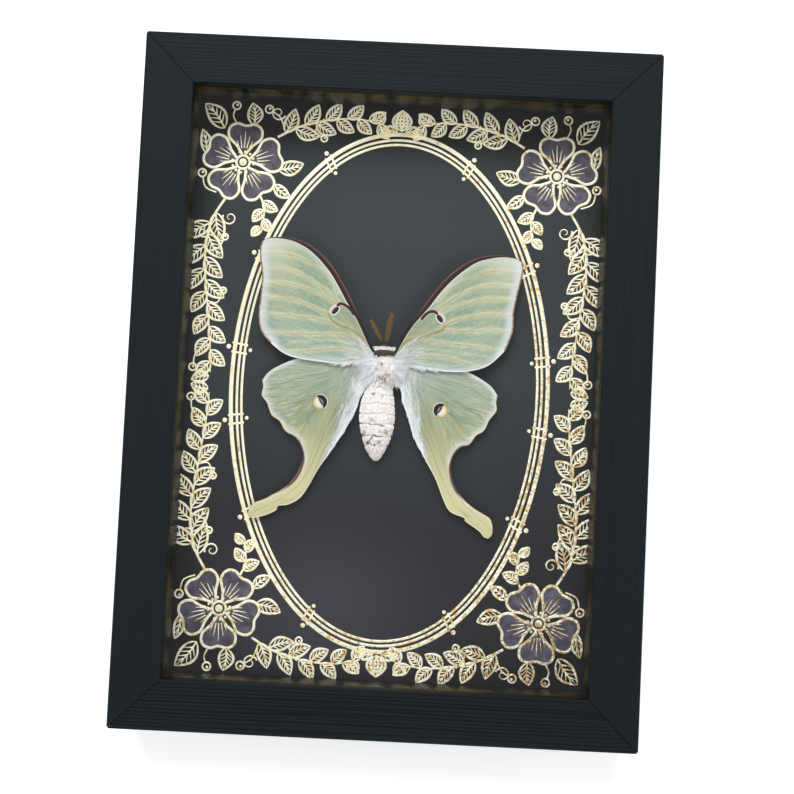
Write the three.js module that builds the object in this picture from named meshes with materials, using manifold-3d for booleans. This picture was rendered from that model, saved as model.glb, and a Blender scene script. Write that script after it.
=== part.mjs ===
// A luna moth mounted in a black wooden shadow-box frame, lying on its back.
// Millimetres. +Z points out through the glass, +Y to the top of the picture, and the origin is the
// centre of the back. The box is packed from the front as glass, liner strips, the card that the moth is
// mounted on, and the back board, all held in the rebate of four mitred rails.
import * as THREE from "three";
import { mergeVertices } from "three/addons/utils/BufferGeometryUtils.js";
import Module from "manifold-3d";

const wasm = await Module();
wasm.setup();

// Frame
const FRAME_WIDTH = 152.4;
const FRAME_HEIGHT = 203.2;
const FRAME_DEPTH = 28;
const RAIL_WIDTH = 14.7;
const LIP_THICKNESS = 4.5;
const LIP_OVERHANG = 2.3;
const CORNER_RADIUS = 1.1;
const OUTER_EASE = 0.7;
const INNER_EASE = 0.35;
const MITRE_GAP = 0.16;

// What lies in the rebate
const PANEL_WIDTH = 127;
const PANEL_HEIGHT = 177.8;
const GLASS_THICKNESS = 2;
const LINER_THICKNESS = 1.6;
const LINER_CLEARANCE = 0.05;
const CARD_TOP = 8;
const CARD_THICKNESS = 0.75;
const BOARD_THICKNESS = 3;

// Back fittings
const TAB_WIDTH = 9;
const TAB_LENGTH = 11;
const TAB_THICKNESS = 0.5;
const HANGER_LENGTH = 45;
const HANGER_HEIGHT = 9;
const HANGER_THICKNESS = 0.8;
const HANGER_RISE = 1.3;
const HANGER_Y = 68;
const RIVET_X = 18.5;
const RIVET_HOLE_RADIUS = 1.15;

// Moth
const WING_THICKNESS = 0.35;
const BODY_CLEARANCE = 0.3;
const BODY_FACETS = 24;
const FUR_RIDGE = 0.045;
const ANTENNA_THICKNESS = 0.3;

const LIP_UNDERSIDE = FRAME_DEPTH - LIP_THICKNESS;
const GLASS_BACK = LIP_UNDERSIDE - GLASS_THICKNESS;
const CARD_BACK = CARD_TOP - CARD_THICKNESS;
const BOARD_BACK = CARD_BACK - BOARD_THICKNESS;
const REBATE_HALF_WIDTH = FRAME_WIDTH / 2 - RAIL_WIDTH + LIP_OVERHANG;
const REBATE_HALF_HEIGHT = FRAME_HEIGHT / 2 - RAIL_WIDTH + LIP_OVERHANG;

const material = (color, roughness, metalness = 0) =>
  new THREE.MeshStandardMaterial({ color, roughness, metalness });
const BLACK_WOOD = material(0x20262a, 0.55);
const BLACK_LINER = material(0x15140f, 0.3);
const CLEAR_GLASS = new THREE.MeshStandardMaterial({
  color: 0xf4f8f8,
  roughness: 0.03,
  transparent: true,
  opacity: 0.12,
});
const CHARCOAL_CARD = material(0x34383c, 0.6);
const BROWN_BOARD = material(0x7b5a3c, 0.8);
const BRIGHT_STEEL = material(0xb9bcc0, 0.35, 1);
const PALE_GREEN = material(0xb4cbb2, 0.8);
const YELLOW_GREEN = material(0xb6c39b, 0.8);
const WHITE_FUR = material(0xece8e2, 0.9);
const TAN_FEATHER = material(0x8a6a35, 0.8);

const root = new THREE.Group();

function add(name, geometry, look) {
  const mesh = new THREE.Mesh(geometry, look);
  mesh.name = name;
  root.add(mesh);
  return mesh;
}

// A three.js geometry as a manifold-3d solid, and back again.
function solidFrom(geometry) {
  const bare = geometry.index ? geometry.toNonIndexed() : geometry.clone();
  bare.deleteAttribute("normal");
  bare.deleteAttribute("uv");
  const merged = mergeVertices(bare, 1e-4);
  return new wasm.Manifold(
    new wasm.Mesh({
      numProp: 3,
      vertProperties: merged.attributes.position.array,
      triVerts: new Uint32Array(merged.index.array),
    }),
  );
}

function geometryFrom(solid) {
  const { vertProperties, triVerts } = solid.getMesh();
  const geometry = new THREE.BufferGeometry();
  geometry.setAttribute("position", new THREE.BufferAttribute(vertProperties, 3));
  geometry.setIndex(new THREE.BufferAttribute(triVerts, 1));
  geometry.computeVertexNormals();
  return geometry;
}

// A solid from bare vertices and triangles. If they wind inwards they are turned over.
function solidOf(vertices, faces) {
  const geometry = new THREE.BufferGeometry();
  geometry.setAttribute("position", new THREE.Float32BufferAttribute(vertices, 3));
  geometry.setIndex(faces);
  const solid = solidFrom(geometry);
  if (solid.volume() > 0) return solid;
  geometry.setIndex(faces.map((_, k) => faces[k - (k % 3) + (2 - (k % 3))]));
  return solidFrom(geometry);
}

// The largest piece of what a cut has left.
const largest = (solid) => solid.decompose().reduce((a, b) => (a.volume() > b.volume() ? a : b));

// A box given by its lowest and highest corners.
function boxBetween([x0, y0, z0], [x1, y1, z1]) {
  const box = new THREE.BoxGeometry(x1 - x0, y1 - y0, z1 - z0);
  return box.translate((x0 + x1) / 2, (y0 + y1) / 2, (z0 + z1) / 2);
}

// A flat plate of an outline, from height low to height high.
function plate(shape, low, high, curveSegments = 8) {
  const geometry = new THREE.ExtrudeGeometry(shape, {
    depth: high - low,
    bevelEnabled: false,
    curveSegments,
  });
  return geometry.translate(0, 0, low);
}

function roundedRectangle(width, height, radius) {
  const [x, y] = [width / 2, height / 2];
  const shape = new THREE.Shape();
  shape.moveTo(-x + radius, -y);
  shape.absarc(x - radius, -y + radius, radius, -Math.PI / 2, 0, false);
  shape.absarc(x - radius, y - radius, radius, 0, Math.PI / 2, false);
  shape.absarc(-x + radius, y - radius, radius, Math.PI / 2, Math.PI, false);
  shape.absarc(-x + radius, -y + radius, radius, Math.PI, 1.5 * Math.PI, false);
  return shape;
}

// The section of a rail: u runs inwards from the outer edge, z up from the back.
function railSection() {
  const body = RAIL_WIDTH - LIP_OVERHANG;
  const shape = new THREE.Shape();
  shape.moveTo(0, 0);
  shape.lineTo(body, 0);
  shape.lineTo(body, LIP_UNDERSIDE);
  shape.lineTo(RAIL_WIDTH, LIP_UNDERSIDE);
  shape.absarc(RAIL_WIDTH - INNER_EASE, FRAME_DEPTH - INNER_EASE, INNER_EASE, 0, Math.PI / 2, false);
  shape.absarc(OUTER_EASE, FRAME_DEPTH - OUTER_EASE, OUTER_EASE, Math.PI / 2, Math.PI, false);
  return shape;
}

// One mitred rail along X with its outer edge at y = outerHalf, turned into place about Z. The further
// in a point of the section lies, the shorter the rail is there, which cuts both mitres.
function rail(name, length, outerHalf, turn) {
  const geometry = new THREE.ExtrudeGeometry(railSection(), {
    depth: 1,
    bevelEnabled: false,
    curveSegments: 3,
  });
  const at = geometry.attributes.position;
  for (let i = 0; i < at.count; i++) {
    const [u, z, end] = [at.getX(i), at.getY(i), at.getZ(i)];
    const reach = length / 2 - u - MITRE_GAP * Math.SQRT1_2;
    at.setXYZ(i, (0.5 - end) * 2 * reach, outerHalf - u, z);
  }
  geometry.rotateZ(turn);
  const blank = plate(roundedRectangle(FRAME_WIDTH, FRAME_HEIGHT, CORNER_RADIUS), -1, FRAME_DEPTH + 1, 5);
  add(name, geometryFrom(solidFrom(geometry).intersect(solidFrom(blank))), BLACK_WOOD);
}

function frame() {
  rail("rail_top", FRAME_WIDTH, FRAME_HEIGHT / 2, 0);
  rail("rail_left", FRAME_HEIGHT, FRAME_WIDTH / 2, Math.PI / 2);
  rail("rail_bottom", FRAME_WIDTH, FRAME_HEIGHT / 2, Math.PI);
  rail("rail_right", FRAME_HEIGHT, FRAME_WIDTH / 2, -Math.PI / 2);
}

// Glass, liner, card and back board, front to back.
function packing() {
  const [x, y] = [PANEL_WIDTH / 2, PANEL_HEIGHT / 2];
  add("glass_pane", boxBetween([-x, -y, GLASS_BACK], [x, y, LIP_UNDERSIDE]), CLEAR_GLASS);
  add("backing_card", boxBetween([-x, -y, CARD_BACK], [x, y, CARD_TOP]), CHARCOAL_CARD);
  add("back_board", boxBetween([-x, -y, BOARD_BACK], [x, y, CARD_BACK]), BROWN_BOARD);

  const outX = REBATE_HALF_WIDTH - LINER_CLEARANCE;
  const outY = REBATE_HALF_HEIGHT - LINER_CLEARANCE;
  const inX = outX - LINER_THICKNESS;
  const inY = outY - LINER_THICKNESS;
  const fitX = inX - LINER_CLEARANCE;
  add("liner_left", boxBetween([-outX, -outY, CARD_TOP], [-inX, outY, GLASS_BACK]), BLACK_LINER);
  add("liner_right", boxBetween([inX, -outY, CARD_TOP], [outX, outY, GLASS_BACK]), BLACK_LINER);
  add("liner_top", boxBetween([-fitX, inY, CARD_TOP], [fitX, outY, GLASS_BACK]), BLACK_LINER);
  add("liner_bottom", boxBetween([-fitX, -outY, CARD_TOP], [fitX, -inY, GLASS_BACK]), BLACK_LINER);
}

// Flat steel points that hold the board in: the end that shows is straight by the rail and round inside.
function retainingTabs() {
  const half = TAB_WIDTH / 2;
  const outline = new THREE.Shape();
  outline.moveTo(-half, 0);
  outline.lineTo(half, 0);
  outline.lineTo(half, TAB_LENGTH - half);
  outline.absarc(0, TAB_LENGTH - half, half, 0, Math.PI, false);
  const sideY = FRAME_HEIGHT * 0.24;
  const wallX = REBATE_HALF_WIDTH - LINER_CLEARANCE;
  const wallY = REBATE_HALF_HEIGHT - LINER_CLEARANCE;
  const places = [
    ["tab_left_upper", -wallX, sideY, -Math.PI / 2],
    ["tab_left_lower", -wallX, -sideY, -Math.PI / 2],
    ["tab_right_upper", wallX, sideY, Math.PI / 2],
    ["tab_right_lower", wallX, -sideY, Math.PI / 2],
    ["tab_top", 0, wallY, Math.PI],
    ["tab_bottom", 0, -wallY, 0],
  ];
  for (const [name, x, y, turn] of places) {
    const tab = plate(outline, BOARD_BACK - TAB_THICKNESS, BOARD_BACK, 5).rotateZ(turn);
    add(name, tab.translate(x, y, 0), BRIGHT_STEEL);
  }
}

// A pressed sawtooth hanger: flat ends riveted to the board, a raised middle, teeth along its lower edge.
function hanger() {
  const half = HANGER_LENGTH / 2;
  const [foot, slope] = [9, 2];
  const side = new THREE.Shape();
  const low = [
    [-half, 0],
    [-half + foot, 0],
    [-half + foot + slope, HANGER_RISE],
    [half - foot - slope, HANGER_RISE],
    [half - foot, 0],
    [half, 0],
  ];
  low.forEach(([x, z], i) => (i ? side.lineTo(x, z) : side.moveTo(x, z)));
  low.reverse().forEach(([x, z]) => side.lineTo(x, z + HANGER_THICKNESS));
  const strip = plate(side, 0, HANGER_HEIGHT).rotateX(Math.PI / 2);
  strip.rotateX(Math.PI).translate(0, HANGER_Y - HANGER_HEIGHT / 2, BOARD_BACK);

  const toothCount = 9;
  const toothPitch = (HANGER_LENGTH - 2 * (foot + slope)) / toothCount;
  const toothDepth = 1.6;
  let solid = solidFrom(strip);
  for (let i = 0; i < toothCount; i++) {
    const x = (i - (toothCount - 1) / 2) * toothPitch;
    const notch = new THREE.Shape();
    notch.moveTo(x - toothPitch / 2 + 0.1, -1);
    notch.lineTo(x + toothPitch / 2 - 0.1, -1);
    notch.lineTo(x, toothDepth);
    const cut = plate(notch, -5, 5).translate(0, HANGER_Y - HANGER_HEIGHT / 2, BOARD_BACK);
    solid = solid.subtract(solidFrom(cut));
  }
  for (const x of [-RIVET_X, RIVET_X]) {
    const drill = new THREE.CylinderGeometry(RIVET_HOLE_RADIUS, RIVET_HOLE_RADIUS, 6, 16);
    solid = solid.subtract(solidFrom(drill.rotateX(Math.PI / 2).translate(x, HANGER_Y, BOARD_BACK)));
  }
  add("hanger", geometryFrom(solid), BRIGHT_STEEL);

  const [shank, head, headHeight] = [RIVET_HOLE_RADIUS - 0.1, 2.1, 0.7];
  const profile = [
    [0, 0],
    [shank, 0],
    [shank, HANGER_THICKNESS + 0.05],
    [head, HANGER_THICKNESS + 0.05],
    [head * 0.8, HANGER_THICKNESS + headHeight * 0.75],
    [0, HANGER_THICKNESS + headHeight],
  ].map(([r, z]) => new THREE.Vector2(r, z));
  for (const [name, x] of [["rivet_left", -RIVET_X], ["rivet_right", RIVET_X]]) {
    const rivet = new THREE.LatheGeometry(profile, 16).rotateX(-Math.PI / 2);
    add(name, rivet.translate(x, HANGER_Y, BOARD_BACK), BRIGHT_STEEL);
  }
}

// A smooth open line through hand-placed points.
const through = (points) => new THREE.SplineCurve(points.map(([x, y]) => new THREE.Vector2(x, y)));

// A patch between four edges (Coons): first and last run across the wing, near and far along it.
function patchPoint(edges, across, along) {
  const { near, far, first, last } = edges;
  const sides = near.getPointAt(along).multiplyScalar(1 - across);
  sides.addScaledVector(far.getPointAt(along), across);
  sides.addScaledVector(first.getPointAt(across), 1 - along);
  sides.addScaledVector(last.getPointAt(across), along);
  sides.addScaledVector(near.getPointAt(0), -(1 - across) * (1 - along));
  sides.addScaledVector(far.getPointAt(0), -across * (1 - along));
  sides.addScaledVector(near.getPointAt(1), -(1 - across) * along);
  sides.addScaledVector(far.getPointAt(1), -across * along);
  return sides;
}

// A closed thin sheet over a patch, its underside at heightAt(x, y, across, along).
function sheetOver(edges, rows, columns, heightAt) {
  const vertices = [];
  const faces = [];
  const stride = columns + 1;
  const layer = (rows + 1) * stride;
  for (const lift of [0, WING_THICKNESS]) {
    for (let i = 0; i <= rows; i++) {
      for (let j = 0; j <= columns; j++) {
        const [along, across] = [i / rows, j / columns];
        const { x, y } = patchPoint(edges, across, along);
        vertices.push(x, y, heightAt(x, y, across, along) + lift);
      }
    }
  }
  const quad = (a, b, c, d) => faces.push(a, b, c, a, c, d);
  for (let i = 0; i < rows; i++) {
    for (let j = 0; j < columns; j++) {
      const a = i * stride + j;
      quad(a, a + 1, a + stride + 1, a + stride);
      quad(layer + a + stride, layer + a + stride + 1, layer + a + 1, layer + a);
    }
  }
  const rim = [];
  for (let j = 0; j < columns; j++) rim.push(j);
  for (let i = 0; i < rows; i++) rim.push(i * stride + columns);
  for (let j = columns; j > 0; j--) rim.push(rows * stride + j);
  for (let i = rows; i > 0; i--) rim.push(i * stride);
  rim.forEach((a, k) => {
    const b = rim[(k + 1) % rim.length];
    quad(b, a, layer + a, layer + b);
  });
  return solidOf(vertices, faces);
}

// The wings' edges, read off the specimen: the leading edge and trailing edge of each forewing from the
// body outwards, and its outer margin from the tip back.
const FOREWINGS = {
  forewing_left: {
    root: [[-4.6, 12.0], [-4.4, 8.4]],
    lead: [
      [-5.5, 12.4], [-9.1, 20.0], [-13.5, 28.8], [-18.7, 36.9], [-24.3, 42.0], [-30.5, 44.6],
      [-36.3, 44.9], [-39.2, 44.3],
    ],
    tip: [-40.8, 43.2],
    margin: [[-41.2, 41.0], [-41.0, 38.0], [-40.1, 32.6], [-40.3, 27.1], [-40.6, 21.2], [-39.7, 16.3]],
    heel: [-36.7, 12.7],
    trail: [[-8.5, 8.5], [-14.5, 7.2], [-21.2, 7.5], [-27.5, 8.2], [-32.2, 9.5]],
  },
  forewing_right: {
    root: [[0.9, 11.4], [0.6, 7.8]],
    lead: [
      [1.7, 13.1], [4.2, 18.4], [8.6, 25.4], [13.0, 31.9], [18.1, 37.4], [24.1, 41.2], [30.6, 42.4],
      [35.5, 42.0], [37.6, 41.2],
    ],
    tip: [38.6, 40.1],
    margin: [[38.9, 38.2], [38.3, 34.4], [37.4, 30.3], [36.6, 24.8], [36.5, 19.4]],
    heel: [34.5, 13.6],
    trail: [[5.0, 7.6], [9.6, 7.0], [16.6, 6.3], [23.6, 6.7], [29.6, 8.8]],
  },
};

// Each hindwing: its front edge from the body to the shoulder, its scalloped outer margin from there down
// the curved tail, the tail's end, and its inner edge from the body down.
const HINDWINGS = {
  hindwing_left: {
    front: [
      [-4.6, 2.6], [-5.0, 6.6], [-9.5, 9.6], [-18.0, 10.6], [-26.0, 9.1], [-31.7, 6.9], [-36.5, 4.0],
      [-38.6, 1.1],
    ],
    outer: [
      [-38.6, 1.1], [-38.2, -0.8], [-38.5, -3.3], [-36.8, -5.6], [-35.2, -9.2], [-32.7, -10.9],
      [-30.7, -13.9], [-27.5, -15.7], [-25.5, -19.2], [-25.0, -22.9], [-26.8, -27.7], [-30.8, -31.6],
      [-36.0, -34.5], [-39.2, -35.9], [-40.4, -37.6],
    ],
    end: [[-40.4, -37.6], [-40.9, -39.4], [-39.4, -40.6]],
    inner: [
      [-4.6, 2.6], [-8.5, -1.5], [-9.9, -6.6], [-13.1, -13.1], [-16.7, -19.1], [-20.3, -24.9],
      [-23.0, -30.2], [-25.5, -33.9], [-28.8, -35.9], [-31.8, -36.5], [-32.5, -37.9], [-35.7, -39.5],
      [-39.4, -40.6],
    ],
  },
  hindwing_right: {
    front: [
      [0.8, 2.6], [1.2, 6.2], [6.0, 8.9], [14.0, 9.4], [20.5, 7.9], [26.4, 5.3], [30.7, 2.6], [32.8, -0.2],
    ],
    outer: [
      [32.8, -0.2], [32.5, -2.2], [32.7, -4.8], [30.7, -7.6], [29.2, -10.9], [26.8, -12.6], [25.0, -15.3],
      [22.3, -16.3], [20.1, -19.5], [19.6, -24.0], [21.4, -29.0], [25.3, -33.2], [29.5, -35.7],
      [32.1, -37.2], [33.0, -39.4],
    ],
    end: [[33.0, -39.4], [33.0, -42.0], [31.9, -43.3]],
    inner: [
      [0.8, 2.6], [3.4, 0.7], [4.2, -3.0], [6.1, -7.9], [8.3, -14.1], [12.0, -20.6], [15.5, -26.8],
      [17.9, -32.4], [20.1, -35.8], [24.3, -37.4], [24.9, -38.5], [28.9, -41.1], [30.5, -42.8],
      [31.9, -43.3],
    ],
  },
};

// Heights of the wings' undersides: they leave the thorax high and settle level above the card, with
// shallow pleats that fan out from the root.
const RIPPLE = 0.14;
const falling = (near, far, distance) => far + (near - far) * Math.exp(-distance / 13);
const forewingHeight = (x, y, across, along) =>
  falling(14.0, 11.6, Math.hypot(x + 2, y - 10)) + RIPPLE * along * Math.sin(across * 6 * Math.PI);
const hindwingHeight = (x, y, across, along) =>
  falling(12.9, 10.3, Math.hypot(x + 2, y - 5)) +
  RIPPLE * (1 - along) * Math.sin(across * 5 * Math.PI) -
  0.5 * Math.max(0, along - 0.4);

// The body's stations from head to tail: y, centre x, half width, height above the card.
const HEAD_AND_THORAX = [
  [14.0, -2.1, 0.8, 3.6],
  [13.5, -2.1, 1.5, 4.6],
  [13.0, -2.0, 2.0, 5.8],
  [12.7, -1.9, 3.0, 6.8],
  [12.2, -1.85, 3.45, 7.3],
  [11.1, -1.85, 3.6, 7.6],
  [10.0, -1.85, 3.6, 7.9],
  [8.5, -1.9, 3.9, 8.5],
  [6.8, -2.05, 4.3, 8.7],
  [5.0, -2.15, 4.3, 8.4],
  [3.6, -2.3, 3.9, 7.6],
  [2.7, -2.5, 3.3, 6.8],
];
const ABDOMEN = [
  [2.3, -2.6, 3.2, 6.6],
  [0.4, -2.9, 4.0, 7.2],
  [-1.5, -3.2, 5.0, 7.7],
  [-5.0, -3.3, 5.65, 8.0],
  [-8.0, -3.3, 5.8, 8.0],
  [-11.1, -3.25, 5.55, 7.7],
  [-14.3, -3.3, 4.8, 7.0],
  [-17.4, -3.3, 3.7, 5.8],
  [-19.8, -3.25, 2.25, 4.2],
  [-21.1, -3.15, 1.1, 2.8],
];
const ABDOMEN_TIP = -21.6;
const ABDOMEN_CREASES = [2.3, -1.2, -4.3, -7.3, -10.4, -14.0, -16.6, -19.0, -21.1];
const CREASE_DEPTH = 0.04;
const FUR_STATIONS_FROM = 5;

// The station at y, by straight runs between the stations of a list.
function stationAt(list, y) {
  const next = Math.max(1, list.findIndex((station) => station[0] <= y));
  const [before, after] = [list[next - 1], list[next]];
  const share = (before[0] - y) / (before[0] - after[0]);
  return before.map((value, k) => value + (after[k] - value) * share);
}

// The abdomen's rings: pinched at each crease and full between.
function abdomenStations() {
  const stations = [];
  for (let i = 0; i + 1 < ABDOMEN_CREASES.length; i++) {
    const [from, to] = [ABDOMEN_CREASES[i], ABDOMEN_CREASES[i + 1]];
    for (const share of [0, 0.25, 0.7]) {
      const [y, centre, halfWidth, height] = stationAt(ABDOMEN, from + (to - from) * share);
      const pinch = share === 0 ? 1 - CREASE_DEPTH : 1;
      stations.push([y, centre, halfWidth * pinch, height * pinch]);
    }
  }
  stations.push(ABDOMEN[ABDOMEN.length - 1]);
  return stations;
}

// One closed skin over the stations, flat where it rests on the card, with the thorax fur as ridges
// that run back along it. Grown by extra on every side it is the space that the wings keep clear of.
function bodySolid(extra) {
  const around = BODY_FACETS;
  const stations = [...HEAD_AND_THORAX, ...abdomenStations()];
  const vertices = [];
  const faces = [];
  stations.forEach(([y, centre, halfWidth, height], i) => {
    const locks = i >= FUR_STATIONS_FROM && i < HEAD_AND_THORAX.length ? FUR_RIDGE : 0;
    for (let k = 0; k < around; k++) {
      const angle = (k / around) * 2 * Math.PI;
      const bulge = 1 + locks * (k % 2 ? 1 : -1);
      const x = centre + (halfWidth * bulge + extra) * Math.cos(angle);
      const z = CARD_TOP + height / 2 + ((height / 2) * bulge + extra) * 1.06 * Math.sin(angle);
      vertices.push(x, y, extra ? z : Math.max(CARD_TOP, z));
    }
  });
  const [first, final] = [stations[0], stations[stations.length - 1]];
  const nose = vertices.push(first[1], first[0] + 0.4 + extra, CARD_TOP + first[3] / 2) / 3 - 1;
  const tail = vertices.push(final[1], ABDOMEN_TIP - extra, CARD_TOP + final[3] / 2) / 3 - 1;
  for (let i = 0; i + 1 < stations.length; i++) {
    for (let k = 0; k < around; k++) {
      const [a, b] = [i * around + k, i * around + ((k + 1) % around)];
      faces.push(a, b, b + around, a, b + around, a + around);
    }
  }
  const end = (stations.length - 1) * around;
  for (let k = 0; k < around; k++) {
    const next = (k + 1) % around;
    faces.push(nose, next, k, tail, end + k, end + next);
  }
  return solidOf(vertices, faces);
}

// A feathery antenna as the flat leaf-shaped blade that its combs fill, rising off the head.
function antennaBlade(base, tip, width) {
  const steps = 12;
  const run = new THREE.Vector3(...tip).sub(new THREE.Vector3(...base));
  const side = new THREE.Vector3(-run.y, run.x, 0).normalize();
  const up = new THREE.Vector3(0, 0, ANTENNA_THICKNESS);
  const vertices = [];
  const faces = [];
  for (let i = 0; i <= steps; i++) {
    const t = i / steps;
    const spread = width * (0.16 + 0.84 * Math.pow(Math.sin(Math.PI * Math.min(1, 0.04 + t * 0.9)), 0.8));
    const middle = new THREE.Vector3(...base).addScaledVector(run, t);
    middle.z += 0.5 * Math.sin(Math.PI * t);
    for (const [s, u] of [[-0.5, 0], [0.5, 0], [0.5, 1], [-0.5, 1]]) {
      const corner = middle.clone().addScaledVector(side, s * spread).addScaledVector(up, u);
      vertices.push(corner.x, corner.y, corner.z);
    }
  }
  const quad = (a, b, c, d) => faces.push(a, b, c, a, c, d);
  for (let i = 0; i < steps; i++) {
    for (let k = 0; k < 4; k++) {
      const [a, b] = [i * 4 + k, i * 4 + ((k + 1) % 4)];
      quad(b, a, a + 4, b + 4);
    }
  }
  quad(0, 1, 2, 3);
  quad(steps * 4 + 3, steps * 4 + 2, steps * 4 + 1, steps * 4);
  return solidOf(vertices, faces);
}

function moth() {
  const keepOut = bodySolid(BODY_CLEARANCE);
  for (const [name, wing] of Object.entries(FOREWINGS)) {
    const edges = {
      near: through([wing.root[0], ...wing.lead, wing.tip]),
      far: through([wing.root[1], ...wing.trail, wing.heel]),
      first: through(wing.root),
      last: through([wing.tip, ...wing.margin, wing.heel]),
    };
    const sheet = sheetOver(edges, 16, 9, forewingHeight).subtract(keepOut);
    add(name, geometryFrom(largest(sheet)), PALE_GREEN);
  }
  for (const [name, wing] of Object.entries(HINDWINGS)) {
    const edges = {
      near: through(wing.inner),
      far: through(wing.outer),
      first: through(wing.front),
      last: through([...wing.end].reverse()),
    };
    const sheet = sheetOver(edges, 32, 8, hindwingHeight).subtract(keepOut);
    add(name, geometryFrom(largest(sheet)), YELLOW_GREEN);
  }
  add("moth_body", geometryFrom(bodySolid(0)), WHITE_FUR);
  const feelers = {
    antenna_left: [[-2.4, 13.4, 12.2], [-6.6, 20.9, 15.2], 1.7],
    antenna_right: [[-1.75, 13.2, 12.2], [-0.2, 23.0, 16.0], 2.0],
  };
  for (const [name, [base, tip, width]] of Object.entries(feelers)) {
    const blade = antennaBlade(base, tip, width).subtract(keepOut);
    add(name, geometryFrom(largest(blade)), TAN_FEATHER);
  }
}

frame();
packing();
retainingTabs();
hanger();
moth();

export default root;
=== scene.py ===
# A luna moth in a black wooden shadow-box frame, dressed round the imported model.
# The model's frame: +Z out through the glass, +Y to the picture's top, origin at the centre of the back.
# Blender works in metres; sizes below are in millimetres and MM turns them.
import math

import bpy
import numpy as np
from mathutils import Euler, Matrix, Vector


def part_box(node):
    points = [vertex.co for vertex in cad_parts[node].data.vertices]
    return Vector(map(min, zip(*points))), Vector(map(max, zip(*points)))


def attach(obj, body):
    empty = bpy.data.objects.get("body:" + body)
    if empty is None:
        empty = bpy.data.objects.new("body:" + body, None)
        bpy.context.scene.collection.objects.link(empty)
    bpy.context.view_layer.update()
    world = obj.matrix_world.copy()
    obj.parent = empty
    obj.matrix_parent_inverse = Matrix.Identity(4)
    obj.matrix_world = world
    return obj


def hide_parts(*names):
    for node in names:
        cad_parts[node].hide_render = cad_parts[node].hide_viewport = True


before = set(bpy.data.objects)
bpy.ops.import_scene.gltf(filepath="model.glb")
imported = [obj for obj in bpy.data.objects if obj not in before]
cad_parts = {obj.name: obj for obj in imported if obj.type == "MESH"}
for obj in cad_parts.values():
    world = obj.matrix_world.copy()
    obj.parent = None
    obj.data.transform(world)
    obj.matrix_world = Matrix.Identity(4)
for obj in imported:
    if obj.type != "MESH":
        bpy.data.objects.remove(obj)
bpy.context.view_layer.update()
MM = 0.001


# The rails
# Four lengths of soft-grained wood, mitred and glued, with a near-black matt paint that lets the open
# grain show. They keep the model's shape, and the paint is laid on along each rail.
class Wire:
    """What a node gives out. Operators on values add Math nodes, so 1 - mask reads as it is."""

    def __init__(self, finish, socket):
        self.finish = finish
        self.socket = socket

    def math(self, operation, *values):
        return self.finish.node("ShaderNodeMath", {"operation": operation}, values)

    def __add__(self, other):
        return self.math("ADD", self, other)

    def __sub__(self, other):
        return self.math("SUBTRACT", self, other)

    def __rsub__(self, other):
        return self.math("SUBTRACT", other, self)

    def __mul__(self, other):
        return self.math("MULTIPLY", self, other)

    def __truediv__(self, other):
        return self.math("DIVIDE", self, other)

    def __pow__(self, other):
        return self.math("POWER", self, other)

    def __abs__(self):
        return self.math("ABSOLUTE", self)

    __radd__ = __add__
    __rmul__ = __mul__

    def or_more(self, other):
        return self.math("MAXIMUM", self, other)

    def rise(self, low, high):
        """0 up to low, 1 from high on, and a smooth step between; low above high makes it fall."""
        settings = {"interpolation_type": "SMOOTHSTEP"}
        if low < high:
            return self.finish.node("ShaderNodeMapRange", settings, [self, low, high, 0.0, 1.0])
        return self.finish.node("ShaderNodeMapRange", settings, [self, high, low, 1.0, 0.0])

    def out(self, name):
        """Another output of the same node."""
        return Wire(self.finish, self.socket.node.outputs[name])


def srgb(red, green, blue):
    """A colour as read on screen, 0 to 255, in the linear light that shaders take."""
    return tuple(((c / 255 + 0.055) / 1.055) ** 2.4 for c in (red, green, blue))


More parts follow.
